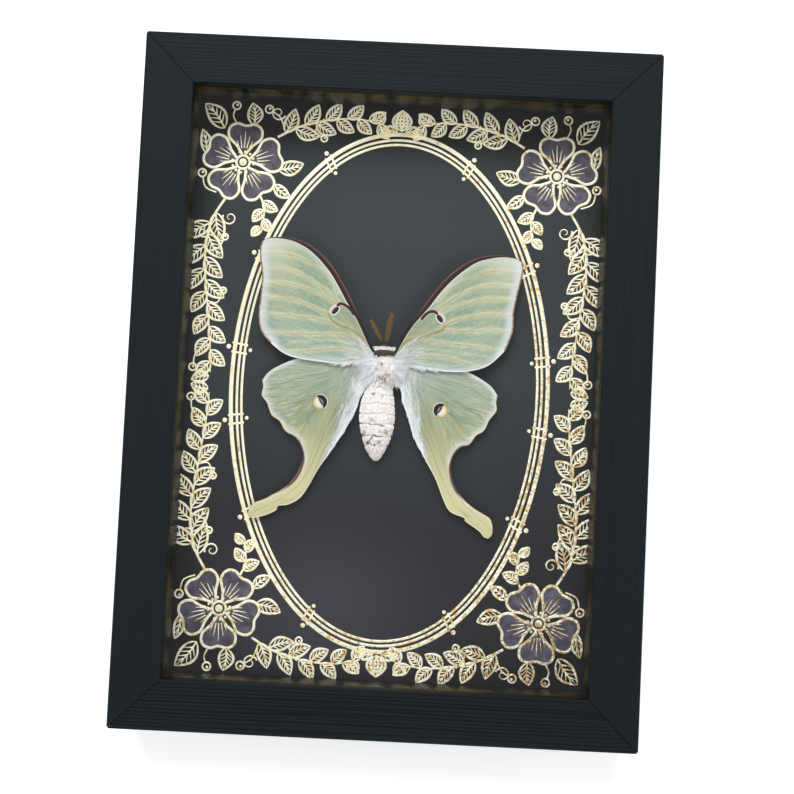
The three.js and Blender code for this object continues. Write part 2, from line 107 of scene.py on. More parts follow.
class Finish:
    """A material: its Principled shader, and the nodes that drive it."""

    def __init__(self, name, **constants):
        self.material = bpy.data.materials.new(name)
        self.material.use_nodes = True
        self.tree = self.material.node_tree
        self.shader = self.tree.nodes["Principled BSDF"]
        self.colour = None
        for key, value in constants.items():
            self.feed(self.shader.inputs[key.replace("_", " ")], value)

    def feed(self, socket, value):
        if isinstance(value, Wire):
            self.tree.links.new(value.socket, socket)
        elif socket.type == "RGBA":
            socket.default_value = (*value, 1.0)
        else:
            socket.default_value = value

    def node(self, kind, settings=None, sockets=()):
        """Any node: its settings, then the values or links of its sockets, by name or in order."""
        node = self.tree.nodes.new(kind)
        for name, value in (settings or {}).items():
            setattr(node, name, value)
        shown = [socket for socket in node.inputs if socket.enabled]
        named = sockets.items() if isinstance(sockets, dict) else enumerate(sockets)
        for key, value in named:
            socket = shown[key] if isinstance(key, int) else next(s for s in shown if s.name == key)
            self.feed(socket, value)
        return Wire(self, next(socket for socket in node.outputs if socket.enabled))

    def place(self):
        """The point on the object, in millimetres of the model's frame."""
        point = self.node("ShaderNodeTexCoord").out("Object")
        return self.node("ShaderNodeVectorMath", {"operation": "SCALE"}, {"Vector": point, "Scale": 1 / MM})

    def axis(self, vector, name):
        return self.node("ShaderNodeSeparateXYZ", None, [vector]).out(name)

    def noise(self, vector, size, detail=2.0, roughness=0.5):
        sockets = {"Vector": vector, "Scale": 1 / size, "Detail": detail, "Roughness": roughness}
        return self.node("ShaderNodeTexNoise", None, sockets)

    def drawn_out(self, vector, factors, detail=2.0, roughness=0.5):
        """Noise on a vector whose three parts are multiplied first."""
        scaled = self.node("ShaderNodeVectorMath", {"operation": "MULTIPLY"}, [vector, factors])
        return self.noise(scaled, 1.0, detail, roughness)

    def blend(self, mask, under, over):
        """Colour over laid on colour under where mask is 1."""
        settings = {"data_type": "RGBA", "clamp_factor": True}
        return self.node("ShaderNodeMix", settings, [mask, under, over])

    def lay(self, mask, over, under=None):
        """Lays a colour on what has been laid so far, or on the first colour, under."""
        self.colour = self.blend(mask, under or self.colour, over)

    def read(self, name, output="Fac"):
        """A value that the mesh stores for each vertex."""
        return self.node("ShaderNodeAttribute", {"attribute_name": name}).out(output)

    def drive(self, **sockets):
        """Links what changes over the surface to the Principled shader."""
        for key, value in sockets.items():
            self.feed(self.shader.inputs[key.replace("_", " ")], value)

    def surface(self, roughness, height, depth):
        """The colour that has been laid, a roughness, and a relief depth millimetres high."""
        sockets = {"Strength": 1.0, "Distance": depth * MM, "Height": height}
        bump = self.node("ShaderNodeBump", None, sockets)
        self.drive(Base_Color=self.colour, Roughness=roughness, Normal=bump)

    def on(self, *nodes):
        """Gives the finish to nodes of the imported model."""
        for name in nodes:
            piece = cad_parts[name]
            piece.data.materials.clear()
            piece.data.materials.append(self.material)


PAINT_FACE = srgb(18, 27, 31)
PAINT_IN_GRAIN = srgb(7, 10, 13)
PAINT_WORN = srgb(32, 39, 42)
DUST = srgb(120, 124, 124)
GRAIN_PITCH = 0.6
RIB_PITCH = 1.1
GRAIN_RUN = 90.0
PORE_PITCH = 0.3
PORE_RUN = 7.0
GRAIN_RELIEF = 0.09


def rail_paint(name, along, grain):
    """Matt black paint; grain says how deep the wood's long lines stand under it."""
    paint = Finish(name, Specular_IOR_Level=0.14)
    at = paint.place()

    def fibrous(run, pitch, detail):
        factors = (1 / run, 1 / pitch, 1 / pitch) if along == "X" else (1 / pitch, 1 / run, 1 / pitch)
        return paint.drawn_out(at, factors, detail)

    lines = fibrous(GRAIN_RUN, GRAIN_PITCH, 1.0)
    wander = fibrous(GRAIN_RUN, 7 * RIB_PITCH, 1.0)
    turns = paint.axis(at, "Y" if along == "X" else "X") / RIB_PITCH + wander * 2.5
    ribs = turns.math("SINE", turns * (2 * math.pi))
    furrows = (lines + ribs * 0.15).rise(0.36, 0.64)
    pores = fibrous(PORE_RUN, PORE_PITCH, 2.0).rise(0.6, 0.72)
    brushed = paint.noise(at, 0.3, 2.0, 0.7)
    paint.lay(1 - furrows, paint.blend(grain, PAINT_FACE, PAINT_IN_GRAIN), PAINT_FACE)
    paint.lay(pores * 0.35 * grain, PAINT_IN_GRAIN)
    paint.lay(brushed.rise(0.58, 0.85) * 0.3, PAINT_WORN)
    specks = paint.noise(at, 0.35, 0.0).rise(0.86, 0.89)
    paint.lay(specks * 0.35, DUST)
    height = furrows * grain - pores * 0.25 * grain + brushed * 0.12
    paint.surface(0.5 + brushed * 0.14, height, GRAIN_RELIEF)
    return paint


rail_paint("black_paint_top", "X", 0.3).on("rail_top")
rail_paint("black_paint_bottom", "X", 0.85).on("rail_bottom")
rail_paint("black_paint_upright", "Y", 0.25).on("rail_left", "rail_right")


# The mitre joints
# Glue and paint fill the fine gap where two rails meet. Near the outer corner the paint bridges it; further
# in it has sunk and leaves a dark line.
JOINT_HALF_WIDTH = 0.05
JOINT_RUN = (
    # x, y, lowest, highest
    (61.9, 87.3, 23.9, 27.4), (64.3, 89.7, 0.4, 27.4), (71.0, 96.4, 0.4, 27.75), (75.7, 101.1, 0.4, 27.75),
)


class Sheetwork:
    """Gathers the vertices and faces of many small shapes into one mesh."""

    def __init__(self):
        self.vertices = []
        self.faces = []
        self.count = 0

    def add(self, vertices, faces):
        self.vertices.append(np.array(vertices, float))
        self.faces += [tuple(self.count + int(k) for k in face) for face in faces]
        self.count += len(vertices)

    def piece(self, name, finish, slot, *replaced):
        """The mesh as a piece that rides with the frame, with its vertices in millimetres."""
        mesh = bpy.data.meshes.new(name)
        mesh.from_pydata((np.vstack(self.vertices) * MM).tolist(), [], self.faces)
        mesh.polygons.foreach_set("use_smooth", [True] * len(mesh.polygons))
        mesh.materials.append(finish.material)
        piece = bpy.data.objects.new(name, mesh)
        bpy.context.scene.collection.objects.link(piece)
        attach(piece, "root")
        if replaced:
            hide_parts(*replaced)
        return piece


joints = Sheetwork()
for flip_x in (-1, 1):
    for flip_y in (-1, 1):
        ring = []
        for x, y, low, high in JOINT_RUN:
            for level in (low, high):
                for side in (-1, 1):
                    shift = side * JOINT_HALF_WIDTH
                    ring.append((flip_x * (x + shift), flip_y * (y - shift), level))
        faces = [(0, 1, 3, 2), (12, 14, 15, 13)]
        for k in (0, 4, 8):
            faces += [(k, k + 4, k + 5, k + 1), (k + 2, k + 3, k + 7, k + 6)]
            faces += [(k, k + 2, k + 6, k + 4), (k + 1, k + 5, k + 7, k + 3)]
        joints.add(ring, faces)
joint_paint = Finish("joint_paint", Specular_IOR_Level=0.1)
joint_grain = joint_paint.noise(joint_paint.place(), 0.5, 3.0)
joint_paint.lay(joint_grain.rise(0.4, 0.7), PAINT_FACE, PAINT_IN_GRAIN)
joint_paint.drive(Base_Color=joint_paint.colour, Roughness=0.6 + joint_grain * 0.2)
joints.piece("mitre_paint", joint_paint, "black_painted_wood")


# The liner
# Four black strips with a satin gloss that stand between the glass and the card. Cut from coated board
# and pushed into the rebate. A blurred olive glow is painted on them in streaks as the reflection of the
# foil border.
LINER_BLACK = srgb(9, 9, 8)
PAINTED_FOIL_REFLECTION = srgb(88, 74, 22)
liner_gloss = Finish("liner_gloss", Specular_IOR_Level=0.12)
at = liner_gloss.place()
streaks = liner_gloss.drawn_out(at, (0.16, 0.16, 0.05))
depth = liner_gloss.axis(at, "Z")
# painted reflection: an olive glow of the foil border, laid as colour in streaks on the liner's part towards
# the glass
painted_reflection = depth.rise(13.0, 18.0) * streaks.rise(0.38, 0.62)
liner_gloss.lay(painted_reflection * 0.85, PAINTED_FOIL_REFLECTION, LINER_BLACK)
liner_gloss.surface(0.35 + streaks * 0.12, streaks, 0.05)
liner_gloss.on("liner_top", "liner_bottom", "liner_left", "liner_right")


# The card
# A sheet of charcoal card with a soft sheen, cut to the size of the pane. Painted light makes it lighter
# green-grey at the top and darker below, with a painted violet sheen at the lower left, and a painted
# shadow turns it near black at its edges and corners under the rails.
CARD_HALF_WIDTH, CARD_HALF_HEIGHT, CARD_TOP = (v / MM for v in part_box("backing_card")[1])
OVAL_HALF_WIDTH = 48.2
OVAL_HALF_HEIGHT = 79.0
card_stock = Finish("card_stock", Specular_IOR_Level=0.15)
at = card_stock.place()
fibres = card_stock.noise(at, 0.35, 4.0, 0.65)
cloudy = card_stock.noise(at, 26.0, 2.0)
across, upward = card_stock.axis(at, "X"), card_stock.axis(at, "Y")
from_sheen = ((across + 18) ** 2 + (upward + 78) ** 2) ** 0.5
# painted light: the card is laid lighter green-grey towards the top and darker below
card_stock.lay(upward.rise(-50, 15), srgb(50, 58, 60), srgb(32, 34, 38))
# painted reflection: a violet sheen spreading from near the bottom edge, left of the middle
card_stock.lay(from_sheen.rise(52, 6), srgb(57, 57, 67))
oval = ((across / OVAL_HALF_WIDTH) ** 2 + (upward / OVAL_HALF_HEIGHT) ** 2) ** 0.5
# painted shadow: near black along the edges under the rails, deepest under the top rail, and in the corners
# far outside the oval
rail_shadow_sides = (CARD_HALF_WIDTH - abs(across)).rise(9, 1) * 0.8
rail_shadow_top = (CARD_HALF_HEIGHT - upward).rise(20, 8)
rail_shadow_foot = (CARD_HALF_HEIGHT + upward).rise(10, 1) * 0.75
painted_rail_shadow = rail_shadow_sides.or_more(rail_shadow_top).or_more(rail_shadow_foot).or_more(oval.rise(1.25, 1.5) * 0.7)
card_stock.lay(painted_rail_shadow, srgb(4, 4, 5))
card_stock.lay(fibres.rise(0.5, 0.9) * 0.25, srgb(62, 66, 69))
card_stock.lay(cloudy.rise(0.4, 0.8) * 0.25, srgb(42, 45, 49))
card_stock.surface(0.6 + fibres * 0.12, fibres, 0.012)
card_stock.on("backing_card")


# The foil border
# Pale gold foil stamped on the card: a plain oval of three lines tied with collars, and in each corner a
# five-petalled blossom between two leafy sprays. The foil stands a hair proud, with rounded edges.
FOIL_RISE = 0.09
FOIL_FOOT = 0.012
FOIL_PAINTED_GLOW = 0.16
OVAL_LINES = ((0.0, 1.3), (1.8, 0.8), (3.2, 0.8))
COLLAR_TURNS = (8, 30, 63)
LEAF_LINE = 0.8
MIDRIB_LINE = 0.6
LEAF_VEIN_LINE = 0.52
LEAF_LEAN = 0.72
TENDRIL_LINE = 0.56
STALK_LINE = 0.46
PETAL_LINE = 0.85
HALF_PETAL = (
    # share of the blossom's radius, degrees from the middle of the petal
    (0.2, 12), (0.45, 25), (0.74, 33), (0.95, 25), (1.0, 13), (0.93, 0),
)
RAY_LINE = 0.42


def smooth_line(points, closed=False, steps=12):
    """A smooth line through control points (Catmull-Rom), as closely set points."""
    knots = np.array(points, float)
    ends = [knots[-1:], knots, knots[:2]] if closed else [knots[:1], knots, knots[-1:]]
    chain = np.vstack(ends)
    t = np.linspace(0, 1, steps, endpoint=False)[:, None]
    runs = []
    for before, start, stop, after in zip(chain, chain[1:], chain[2:], chain[3:]):
        leave, arrive = (stop - before) / 2, (after - start) / 2
        cubic = (2 * start - 2 * stop + leave + arrive) * t**3
        square = (3 * stop - 3 * start - 2 * leave - arrive) * t**2
        runs.append(cubic + square + leave * t + start)
    return np.vstack(runs + [knots[:1] if closed else knots[-1:]])


def heading(degrees):
    """The unit vectors that point at the given angles from X."""
    angles = np.radians(degrees)
    return np.stack([np.cos(angles), np.sin(angles)], axis=-1)


foil = Sheetwork()
petal_film = Sheetwork()


def mirrored(points):
    """The same points in all four corners."""
    for flip in ((1, 1), (-1, 1), (1, -1), (-1, -1)):
        yield np.array(points) * flip


def stroke(points, width, taper=0.0, lift=0.0):
    """A line of foil with a domed section; taper 1 brings its far end to a point, 2 both ends."""
    points = np.array(points, float)
    run = np.gradient(points, axis=0)
    side = np.column_stack([-run[:, 1], run[:, 0]]) / np.maximum(np.linalg.norm(run, axis=1), 1e-9)[:, None]
    share = np.linspace(0, 1, len(points))
    full = np.ones(len(points))
    if taper == 1:
        full = np.sqrt(1 - share * 0.92)
    if taper == 2:
        full = 0.2 + 0.8 * np.sin(np.pi * share) ** 0.6
    half = (width / 2 * full)[:, None]
    foot = CARD_TOP + FOIL_FOOT + lift
    rows = []
    for offset, height in ((1, 0), (0.55, 0.8), (-0.55, 0.8), (-1, 0)):
        level = np.full(len(points), foot + FOIL_RISE * height)
        rows.append(np.column_stack([points + side * half * offset, level]))
    lanes = len(rows)
    vertices = np.stack(rows, axis=1).reshape(-1, 3)
    faces = []
    for i in range(len(points) - 1):
        for k in range(lanes - 1):
            a = i * lanes + k
            faces.append((a, a + lanes, a + lanes + 1, a + 1))
    foil.add(vertices, faces)


def strokes(points, width, taper=0.0, lift=0.0):
    for place in mirrored(points):
        stroke(place, width, taper, lift)


def disc(centre, radius, lift=0.0):
    """A small domed dot of foil in all four corners."""
    rim = heading(np.arange(12) * 30)
    foot = CARD_TOP + FOIL_FOOT + lift
    for middle in mirrored([centre]):
        outer = np.column_stack([middle + rim * radius, np.full(12, foot)])
        inner = np.column_stack([middle + rim * radius * 0.6, np.full(12, foot + FOIL_RISE * 0.8)])
        faces = [(k, (k + 1) % 12, 12 + (k + 1) % 12, 12 + k) for k in range(12)]
        foil.add(np.vstack([outer, inner]), faces + [tuple(range(12, 24))])


def ring(centre, radius, width):
    strokes(np.array(centre) + radius * heading(np.linspace(0, 360, 19)), width)


def leaf(base, tip, breadth, veins=4, lift=0.0):
    """A pointed leaf: two sides, a midrib and slanted veins."""
    base, tip = np.array(base, float), np.array(tip, float)
    run = tip - base
    out = np.array([-run[1], run[0]]) / np.linalg.norm(run)
    share = np.linspace(0, 1, 13)
    bow = breadth / 2 * np.sin(np.pi * share**0.85) ** 0.9
    bend = out * (breadth * 0.12)
    middle = base + run * share[:, None] + bend * np.sin(np.pi * share)[:, None]
    for hand in (1, -1):
        strokes(middle + out * (hand * bow)[:, None], LEAF_LINE, 2, lift)
        for k in range(veins):
            start = 0.2 + 0.6 * k / veins
            stop = min(start + 0.2, 0.97)
            reach = breadth / 2 * np.sin(np.pi * stop**0.85) ** 0.9 * 0.86
            root = base + run * start + bend * np.sin(np.pi * start)
            end = base + run * stop + bend * np.sin(np.pi * stop) + out * hand * reach
            strokes([root, (root + end) / 2, end], LEAF_VEIN_LINE, 1, lift)
    strokes(middle, MIDRIB_LINE, 1, lift)


def spray(path, leaf_length, breadth, count, first=0.06):
    """A stem with leaves set alternately on its two sides, each leaning forwards."""
    stem = smooth_line(path)
    strokes(stem, LEAF_LINE, 1)
    reach = np.concatenate([[0], np.cumsum(np.linalg.norm(np.diff(stem, axis=0), axis=1))])
    for k in range(count):
        share = first + (0.94 - first) * k / max(1, count - 1)
        base, ahead = (
            np.array([np.interp(share * reach[-1] + further, reach, stem[:, c]) for c in (0, 1)])
            for further in (0, 1.5)
        )
        ahead = ahead - base
        if np.linalg.norm(ahead) < 1e-6:
            ahead = stem[-1] - stem[-4]
        lean = math.atan2(ahead[1], ahead[0]) + (LEAF_LEAN if k % 2 else -LEAF_LEAN)
        size = leaf_length * (1 - 0.35 * share)
        leaf(base, base + size * heading(math.degrees(lean)), breadth * (1 - 0.25 * share))


def berry(stalk, radius):
    """A berry: a ring with a bright dot, on a thin curved stalk."""
    line = smooth_line(stalk)
    strokes(line, STALK_LINE)
    away = line[-1] - line[-3]
    centre = line[-1] + away / np.linalg.norm(away) * radius
    ring(centre, radius, TENDRIL_LINE)
    disc(centre + np.array([-0.15, 0.2]) * radius, radius * 0.38)


def curl(centre, radius, start, turns):
    """A tendril that winds in on itself."""
    share = np.linspace(0, 1, 26)
    size = radius * (1 - share * 0.82)
    strokes(np.array(centre) + size[:, None] * heading(start + turns * 360 * share), TENDRIL_LINE, 1)


def blossom(centre, radius, turn):
    """Five notched petals round a ringed heart with stamens, the petals filled with a smoky film."""
    centre = np.array(centre, float)
    for petal in range(5):
        aim = turn + petal * 72
        side = [(r, aim - a) for r, a in HALF_PETAL] + [(r, aim + a) for r, a in HALF_PETAL[-2::-1]]
        edge = smooth_line([centre + radius * r * heading(a) for r, a in side], steps=6)
        strokes(edge, PETAL_LINE, 0, FOIL_RISE)
        for place in mirrored(edge):
            level = np.full(len(place), CARD_TOP + FOIL_RISE)
            petal_film.add(np.column_stack([place, level]), [tuple(range(len(place)))])
        for slant in (-20, -10, 0, 10, 20):
            ray = np.linspace(0.36, 0.8 - abs(slant) / 90, 6)[:, None] * radius
            strokes(centre + ray * heading(aim + slant), RAY_LINE, 1, FOIL_RISE)
    ring(centre, radius * 0.17, 0.8)
    disc(centre, radius * 0.1, FOIL_RISE)
    for stamen in range(12):
        disc(centre + radius * 0.27 * heading(stamen * 30 + 9), radius * 0.035, FOIL_RISE)


def oval_point(turn, inset=0.0):
    return heading(turn) * (OVAL_HALF_WIDTH - inset, OVAL_HALF_HEIGHT - inset)


for inset, width in OVAL_LINES:
    stroke([oval_point(turn, inset) for turn in range(0, 361, 2)], width)
for turn in COLLAR_TURNS:
    for nudge in (-1.0, 1.0):
        strokes([oval_point(turn + nudge, inset) for inset in (-0.9, 1.5, 3.9)], 0.6)
    disc(oval_point(turn, -1.9), 0.75)
    disc(oval_point(turn, 4.8), 0.6)

blossom((48.3, 68.2), 12.2, 20)
spray([(53, 57), (57.2, 49), (58.4, 38), (57.0, 25), (55.4, 12), (54.8, 3)], 9.6, 4.6, 14, 0.1)
spray([(38, 76.5), (31, 80.2), (22, 82.6), (13, 83.2), (5, 81.6)], 8.4, 4.0, 10, 0.08)
spray([(43, 59), (41.0, 54), (41.6, 47.5)], 6.2, 3.2, 4, 0.25)
for base, tip, breadth, veins in (
    ((54.5, 78.5), (60.8, 86.0), 5.2, 4), ((45.5, 80.0), (46.2, 86.8), 4.4, 4),
    ((59.6, 70.5), (61.2, 78.0), 3.0, 3), ((37.4, 66.4), (29.6, 68.6), 4.2, 4),
    ((38.4, 61.6), (33.2, 57.8), 3.0, 3), ((0.0, 80.0), (0.0, 86.6), 4.6, 4),
    ((1.2, 79.8), (6.4, 79.4), 3.0, 3), ((55.2, 2.0), (60.6, 0.6), 3.2, 3),
):
    leaf(base, tip, breadth, veins)
for stalk, radius in (
    ([(56, 58.5), (59.4, 60.0), (60.4, 63.2)], 1.2), ([(51, 80.4), (52.0, 82.6), (51.5, 84.6)], 1.2),
    ([(36.0, 79.0), (37.5, 82.6), (40.0, 84.4)], 1.2), ([(55.2, 12.0), (59.4, 9.0), (60.2, 5.6)], 1.1),
    ([(24.0, 82.8), (26.5, 79.0), (24.5, 77.2)], 0.95), ([(57.2, 25.0), (54.0, 24.5), (52.6, 27.4)], 0.95),
    ([(58.0, 40.0), (54.4, 41.5), (53.0, 44.0)], 0.95),
):
    berry(stalk, radius)
for centre, radius, start, turns in (
    ((38.2, 84.0), 2.3, 200, 1.3), ((59.4, 46.0), 1.9, 150, 1.2), ((51.4, 50.8), 2.3, 20, -1.3),
    ((7.2, 84.0), 2.3, 250, -1.35), ((60.0, 18.0), 1.5, 100, 1.2),
):
    curl(centre, radius, start, turns)

# The gold is painted with light: brighter glints in patches, darker towards the lower right, dark brown in
# the crinkles and along the sloping edges of each line, and a faint glow.
gold = Finish("stamped_gold", Metallic=0.2, Specular_IOR_Level=0.8)
at = gold.place()
painted_glints = gold.noise(at, 1.7, 3.0)
crinkle = gold.noise(at, 0.7, 3.0, 0.7)
# painted shade: the foil is laid darker towards the lower right
away = gold.axis(at, "X").rise(-20, 60) * 0.5 + gold.axis(at, "Y").rise(40, -90) * 0.5
height = (gold.axis(at, "Z") - (CARD_TOP + FOIL_FOOT)) / FOIL_RISE + 0.02
# painted shade: the sloping edges of each foil line are laid dark brown
foot = height.math("FRACT", height).rise(0.35, 0.05)
# painted highlights: patches of brighter and deeper gold
gold.lay(painted_glints.rise(0.42, 0.66), srgb(252, 240, 192), srgb(255, 253, 228))
gold.lay((painted_glints + away * 0.2).rise(0.64, 0.78) * 0.7, srgb(206, 160, 84))
# painted shade: dark brown in the crinkles, darker towards the lower right
gold.lay((crinkle + away * 0.18).rise(0.66, 0.76) * 0.75, srgb(122, 84, 34))
gold.lay(foot * 0.6, srgb(70, 46, 18))
# painted light: the foil glows faintly
gold.drive(Emission_Color=gold.colour, Emission_Strength=FOIL_PAINTED_GLOW)
gold.surface(0.36 + painted_glints * 0.12, crinkle, 0.05)
foil.piece("foil_border", gold, "gold_foil")

film = Finish("petal_film", Specular_IOR_Level=0.4)
at = film.place()
clouds = film.noise(at, 2.4, 2.0)
film.lay(clouds.rise(0.3, 0.75), srgb(104, 100, 114), srgb(66, 64, 76))
film.surface(0.45 + clouds * 0.15, clouds, 0.015)
petal_film.piece("petal_film", film, "charcoal_card")


# The back board
# Smooth brown hardboard that closes the back, with the faint screen texture that its press leaves.
board = Finish("pressed_board", Specular_IOR_Level=0.3)
at = board.place()
chips = board.noise(at, 0.9, 5.0, 0.7)
press = board.noise(at, 14.0, 3.0)
board.lay(chips.rise(0.35, 0.7), srgb(146, 108, 72), srgb(98, 68, 42))
board.lay(press.rise(0.35, 0.8) * 0.5, srgb(118, 88, 60))
board.surface(0.62 + chips * 0.2, chips, 0.04)
board.on("back_board")


# The back fittings
# Flat steel points driven into the rails hold the board; a sawtooth hanger is riveted to it. All are
# zinc-plated, with the fine scratches of the press tool.
zinc = Finish("zinc_plate", Metallic=1.0)
at = zinc.place()
scratches = zinc.drawn_out(at, (0.3125, 5.0, 1.25), 3.0, 0.7)
bloom = zinc.noise(at, 3.0, 3.0)
zinc.lay(bloom.rise(0.35, 0.75), srgb(160, 163, 168), srgb(196, 198, 202))
zinc.surface(0.26 + scratches * 0.16 + bloom * 0.1, scratches, 0.02)
zinc.on("tab_left_upper", "tab_left_lower", "tab_right_upper", "tab_right_lower", "tab_top", "tab_bottom")
zinc.on("hanger", "rivet_left", "rivet_right")


# The moth's body
# Head, thorax and abdomen of one dried insect, glued to the card by its underside. The skin is hidden
# under a coat of white fur, long on the thorax, with a dark band behind the head and a few rubbed spots.
# Grey patches of painted shade lie between the locks, the front of the head is painted dark as shade,
# and the fur glows faintly as painted light.
BODY_STATIONS = np.array([
    # y, centre x, half width, height above the card
    (13.9, -2.1, 0.7, 3.5), (13.5, -2.1, 1.3, 4.4), (13.05, -2.0, 1.9, 5.5), (12.75, -1.9, 2.8, 6.5),
    (12.3, -1.85, 3.5, 7.2), (11.4, -1.85, 3.65, 7.6), (10.0, -1.85, 3.65, 7.85), (8.5, -1.9, 3.9, 8.3),
    (6.8, -2.05, 4.2, 8.5), (5.2, -2.15, 4.2, 8.2), (3.8, -2.3, 3.8, 7.4), (2.4, -2.55, 3.2, 6.6),
    (1.4, -2.75, 3.5, 6.8), (0.2, -2.95, 4.1, 7.1), (-1.5, -3.15, 4.7, 7.45), (-4.5, -3.3, 5.3, 7.7),
    (-8.0, -3.3, 5.5, 7.7), (-11.1, -3.2, 5.25, 7.45), (-14.3, -3.15, 4.45, 6.8), (-17.4, -3.25, 3.3, 5.6),
    (-19.8, -3.2, 1.9, 4.0), (-20.8, -3.1, 0.95, 2.7), (-21.3, -3.05, 0.3, 2.1),
])
CREASES = (1.5, -1.4, -4.3, -7.3, -10.4, -14.0, -16.6, -19.0)
CREASE_DEPTH = 0.055
FUR_ROOM = 0.2
FUR_PAINTED_GLOW = 0.06
SKIN_ROWS, SKIN_COLUMNS = 230, 130


def body_shape(x, y):
    """Centre, half width and height at y; the creases between the rings wander a little with x."""
    order = BODY_STATIONS[::-1]
    centre, half_width, height = (np.interp(y, order[:, 0], order[:, k]) for k in (1, 2, 3))
    wander = y + 0.22 * np.sin(x * 0.9 + y * 0.4) + 0.1 * np.sin(x * 2.3 - y)
    near = sum(np.exp(-(((wander - crease) / 0.3) ** 2)) for crease in CREASES)
    pinch = 1 - CREASE_DEPTH * np.minimum(near, 1)
    return centre, half_width * pinch - FUR_ROOM, height * pinch - FUR_ROOM


def body_point(y, angle):
    """A point of the skin; angle 0 is the right side and pi / 2 the top of the back."""
    centre, half_width, height = body_shape(4 * np.cos(angle), y)
    x = centre + half_width * np.cos(angle)
    z = CARD_TOP + height / 2 + height / 2 * np.sin(angle)
    return np.stack([x, y + 0 * x, np.maximum(z, CARD_TOP + 0.02)], axis=-1)


def grid_faces(rows, columns, closed=False):
    """Quads over a grid of points stored row by row."""
    i, j = np.meshgrid(np.arange(rows - 1), np.arange(columns if closed else columns - 1), indexing="ij")
    a = i * columns + j
    b = i * columns + (j + 1) % columns
    return np.stack([a, b, b + columns, a + columns], axis=-1).reshape(-1, 4)


def mark(piece, **values):
    """Stores a value for each vertex under a name that the material reads."""
    for name, each in values.items():
        each = np.asarray(each, np.float32)
        vector = each.ndim == 2
        layer = piece.data.attributes.new(name, "FLOAT_VECTOR" if vector else "FLOAT", "POINT")
        layer.data.foreach_set("vector" if vector else "value", each.ravel())


class Edge:
    """A smooth line with points by their share of its length."""

    def __init__(self, points):
        self.line = smooth_line(points)
        steps = np.linalg.norm(np.diff(self.line, axis=0), axis=1)
        self.reach = np.concatenate([[0], np.cumsum(steps)])

    def at(self, share):
        where = share * self.reach[-1]
        return np.stack([np.interp(where, self.reach, self.line[:, k]) for k in (0, 1)], axis=-1)

    def nearest(self, points):
        """Distance of each point to the line, and the share of its length where that is."""
        flat = points.reshape(-1, 2)
        gaps = np.hypot(flat[:, :1] - self.line[:, 0], flat[:, 1:] - self.line[:, 1])
        which = gaps.argmin(axis=1)
        distance = gaps.min(axis=1)
        ends = (np.maximum(which - 1, 0), np.minimum(which + 1, len(self.line) - 1))
        for a, b in ((ends[0], which), (which, ends[1])):
            start, run = self.line[a], self.line[b] - self.line[a]
            size = np.maximum((run**2).sum(axis=1), 1e-12)
            share = np.clip(((flat - start) * run).sum(axis=1) / size, 0, 1)
            distance = np.minimum(distance, np.linalg.norm(start + run * share[:, None] - flat, axis=1))
        shape = points.shape[:-1]
        return distance.reshape(shape), (self.reach[which] / self.reach[-1]).reshape(shape)


def unit(vectors):
    return vectors / np.maximum(np.linalg.norm(vectors, axis=1), 1e-6)[:, None]


def nearest_of(lines, points):
    return np.min([Edge(line).nearest(points)[0] for line in lines], axis=0)


random = np.random.default_rng(7)
FUR_WHITE = srgb(253, 252, 252)
FUR_CREAM = srgb(228, 222, 218)
SILK_BLUE = srgb(240, 243, 248)
SILK_SAGE = srgb(172, 184, 164)
FUR_PAINTED_SHADE = srgb(200, 196, 195)
RUBBED_TAN = srgb(172, 134, 78)
BAND_BROWN = srgb(24, 17, 9)
BAND_FLECK = srgb(112, 92, 58)

TAN_SPOTS = (
    # x, y, radius: places where the fur is rubbed through
    (-4.9, -9.1, 0.5), (-4.2, -9.5, 0.35), (-7.1, -13.3, 0.55), (-6.7, -12.6, 0.3), (-5.8, -15.9, 0.6),
    (-2.3, -15.7, 0.55), (-2.1, -12.5, 0.35), (-0.4, -12.6, 0.7), (-2.0, -2.0, 0.4), (-4.5, -1.6, 0.35),
    (-1.2, 5.5, 0.55), (-1.7, 4.1, 0.3), (1.6, 5.7, 0.3), (-4.9, 6.0, 0.25),
)
DARK_SPOTS = ((-2.3, 8.3, 0.34), (-3.3, 6.9, 0.28), (-1.9, 4.3, 0.22), (0.6, 3.0, 0.3))
CRACKS = (
    [(-8.1, -10.1), (-5.9, -10.4), (-3.3, -10.6), (-1.1, -10.9)],
    [(-7.1, -14.1), (-4.1, -13.8), (-1.3, -14.2)],
    [(-4.0, -14.0), (-4.9, -15.0), (-5.9, -15.9), (-5.0, -15.7)],
    [(-5.6, -16.2), (-3.4, -16.8)],
    [(-3.2, 4.7), (-2.2, 4.1), (-1.5, 3.6)],
    [(-5.4, -1.3), (-4.4, -1.5)],
)


def spotted(x, y, spots, ragged):
    """1 in the middle of a spot, falling to 0 at its ragged rim."""
    cover = np.zeros_like(x)
    for spot_x, spot_y, radius in spots:
        away = np.hypot(x - spot_x, y - spot_y) / (radius * (0.7 + 0.7 * ragged))
        cover = np.maximum(cover, np.clip(1.8 - 1.4 * away, 0, 1))
    return cover


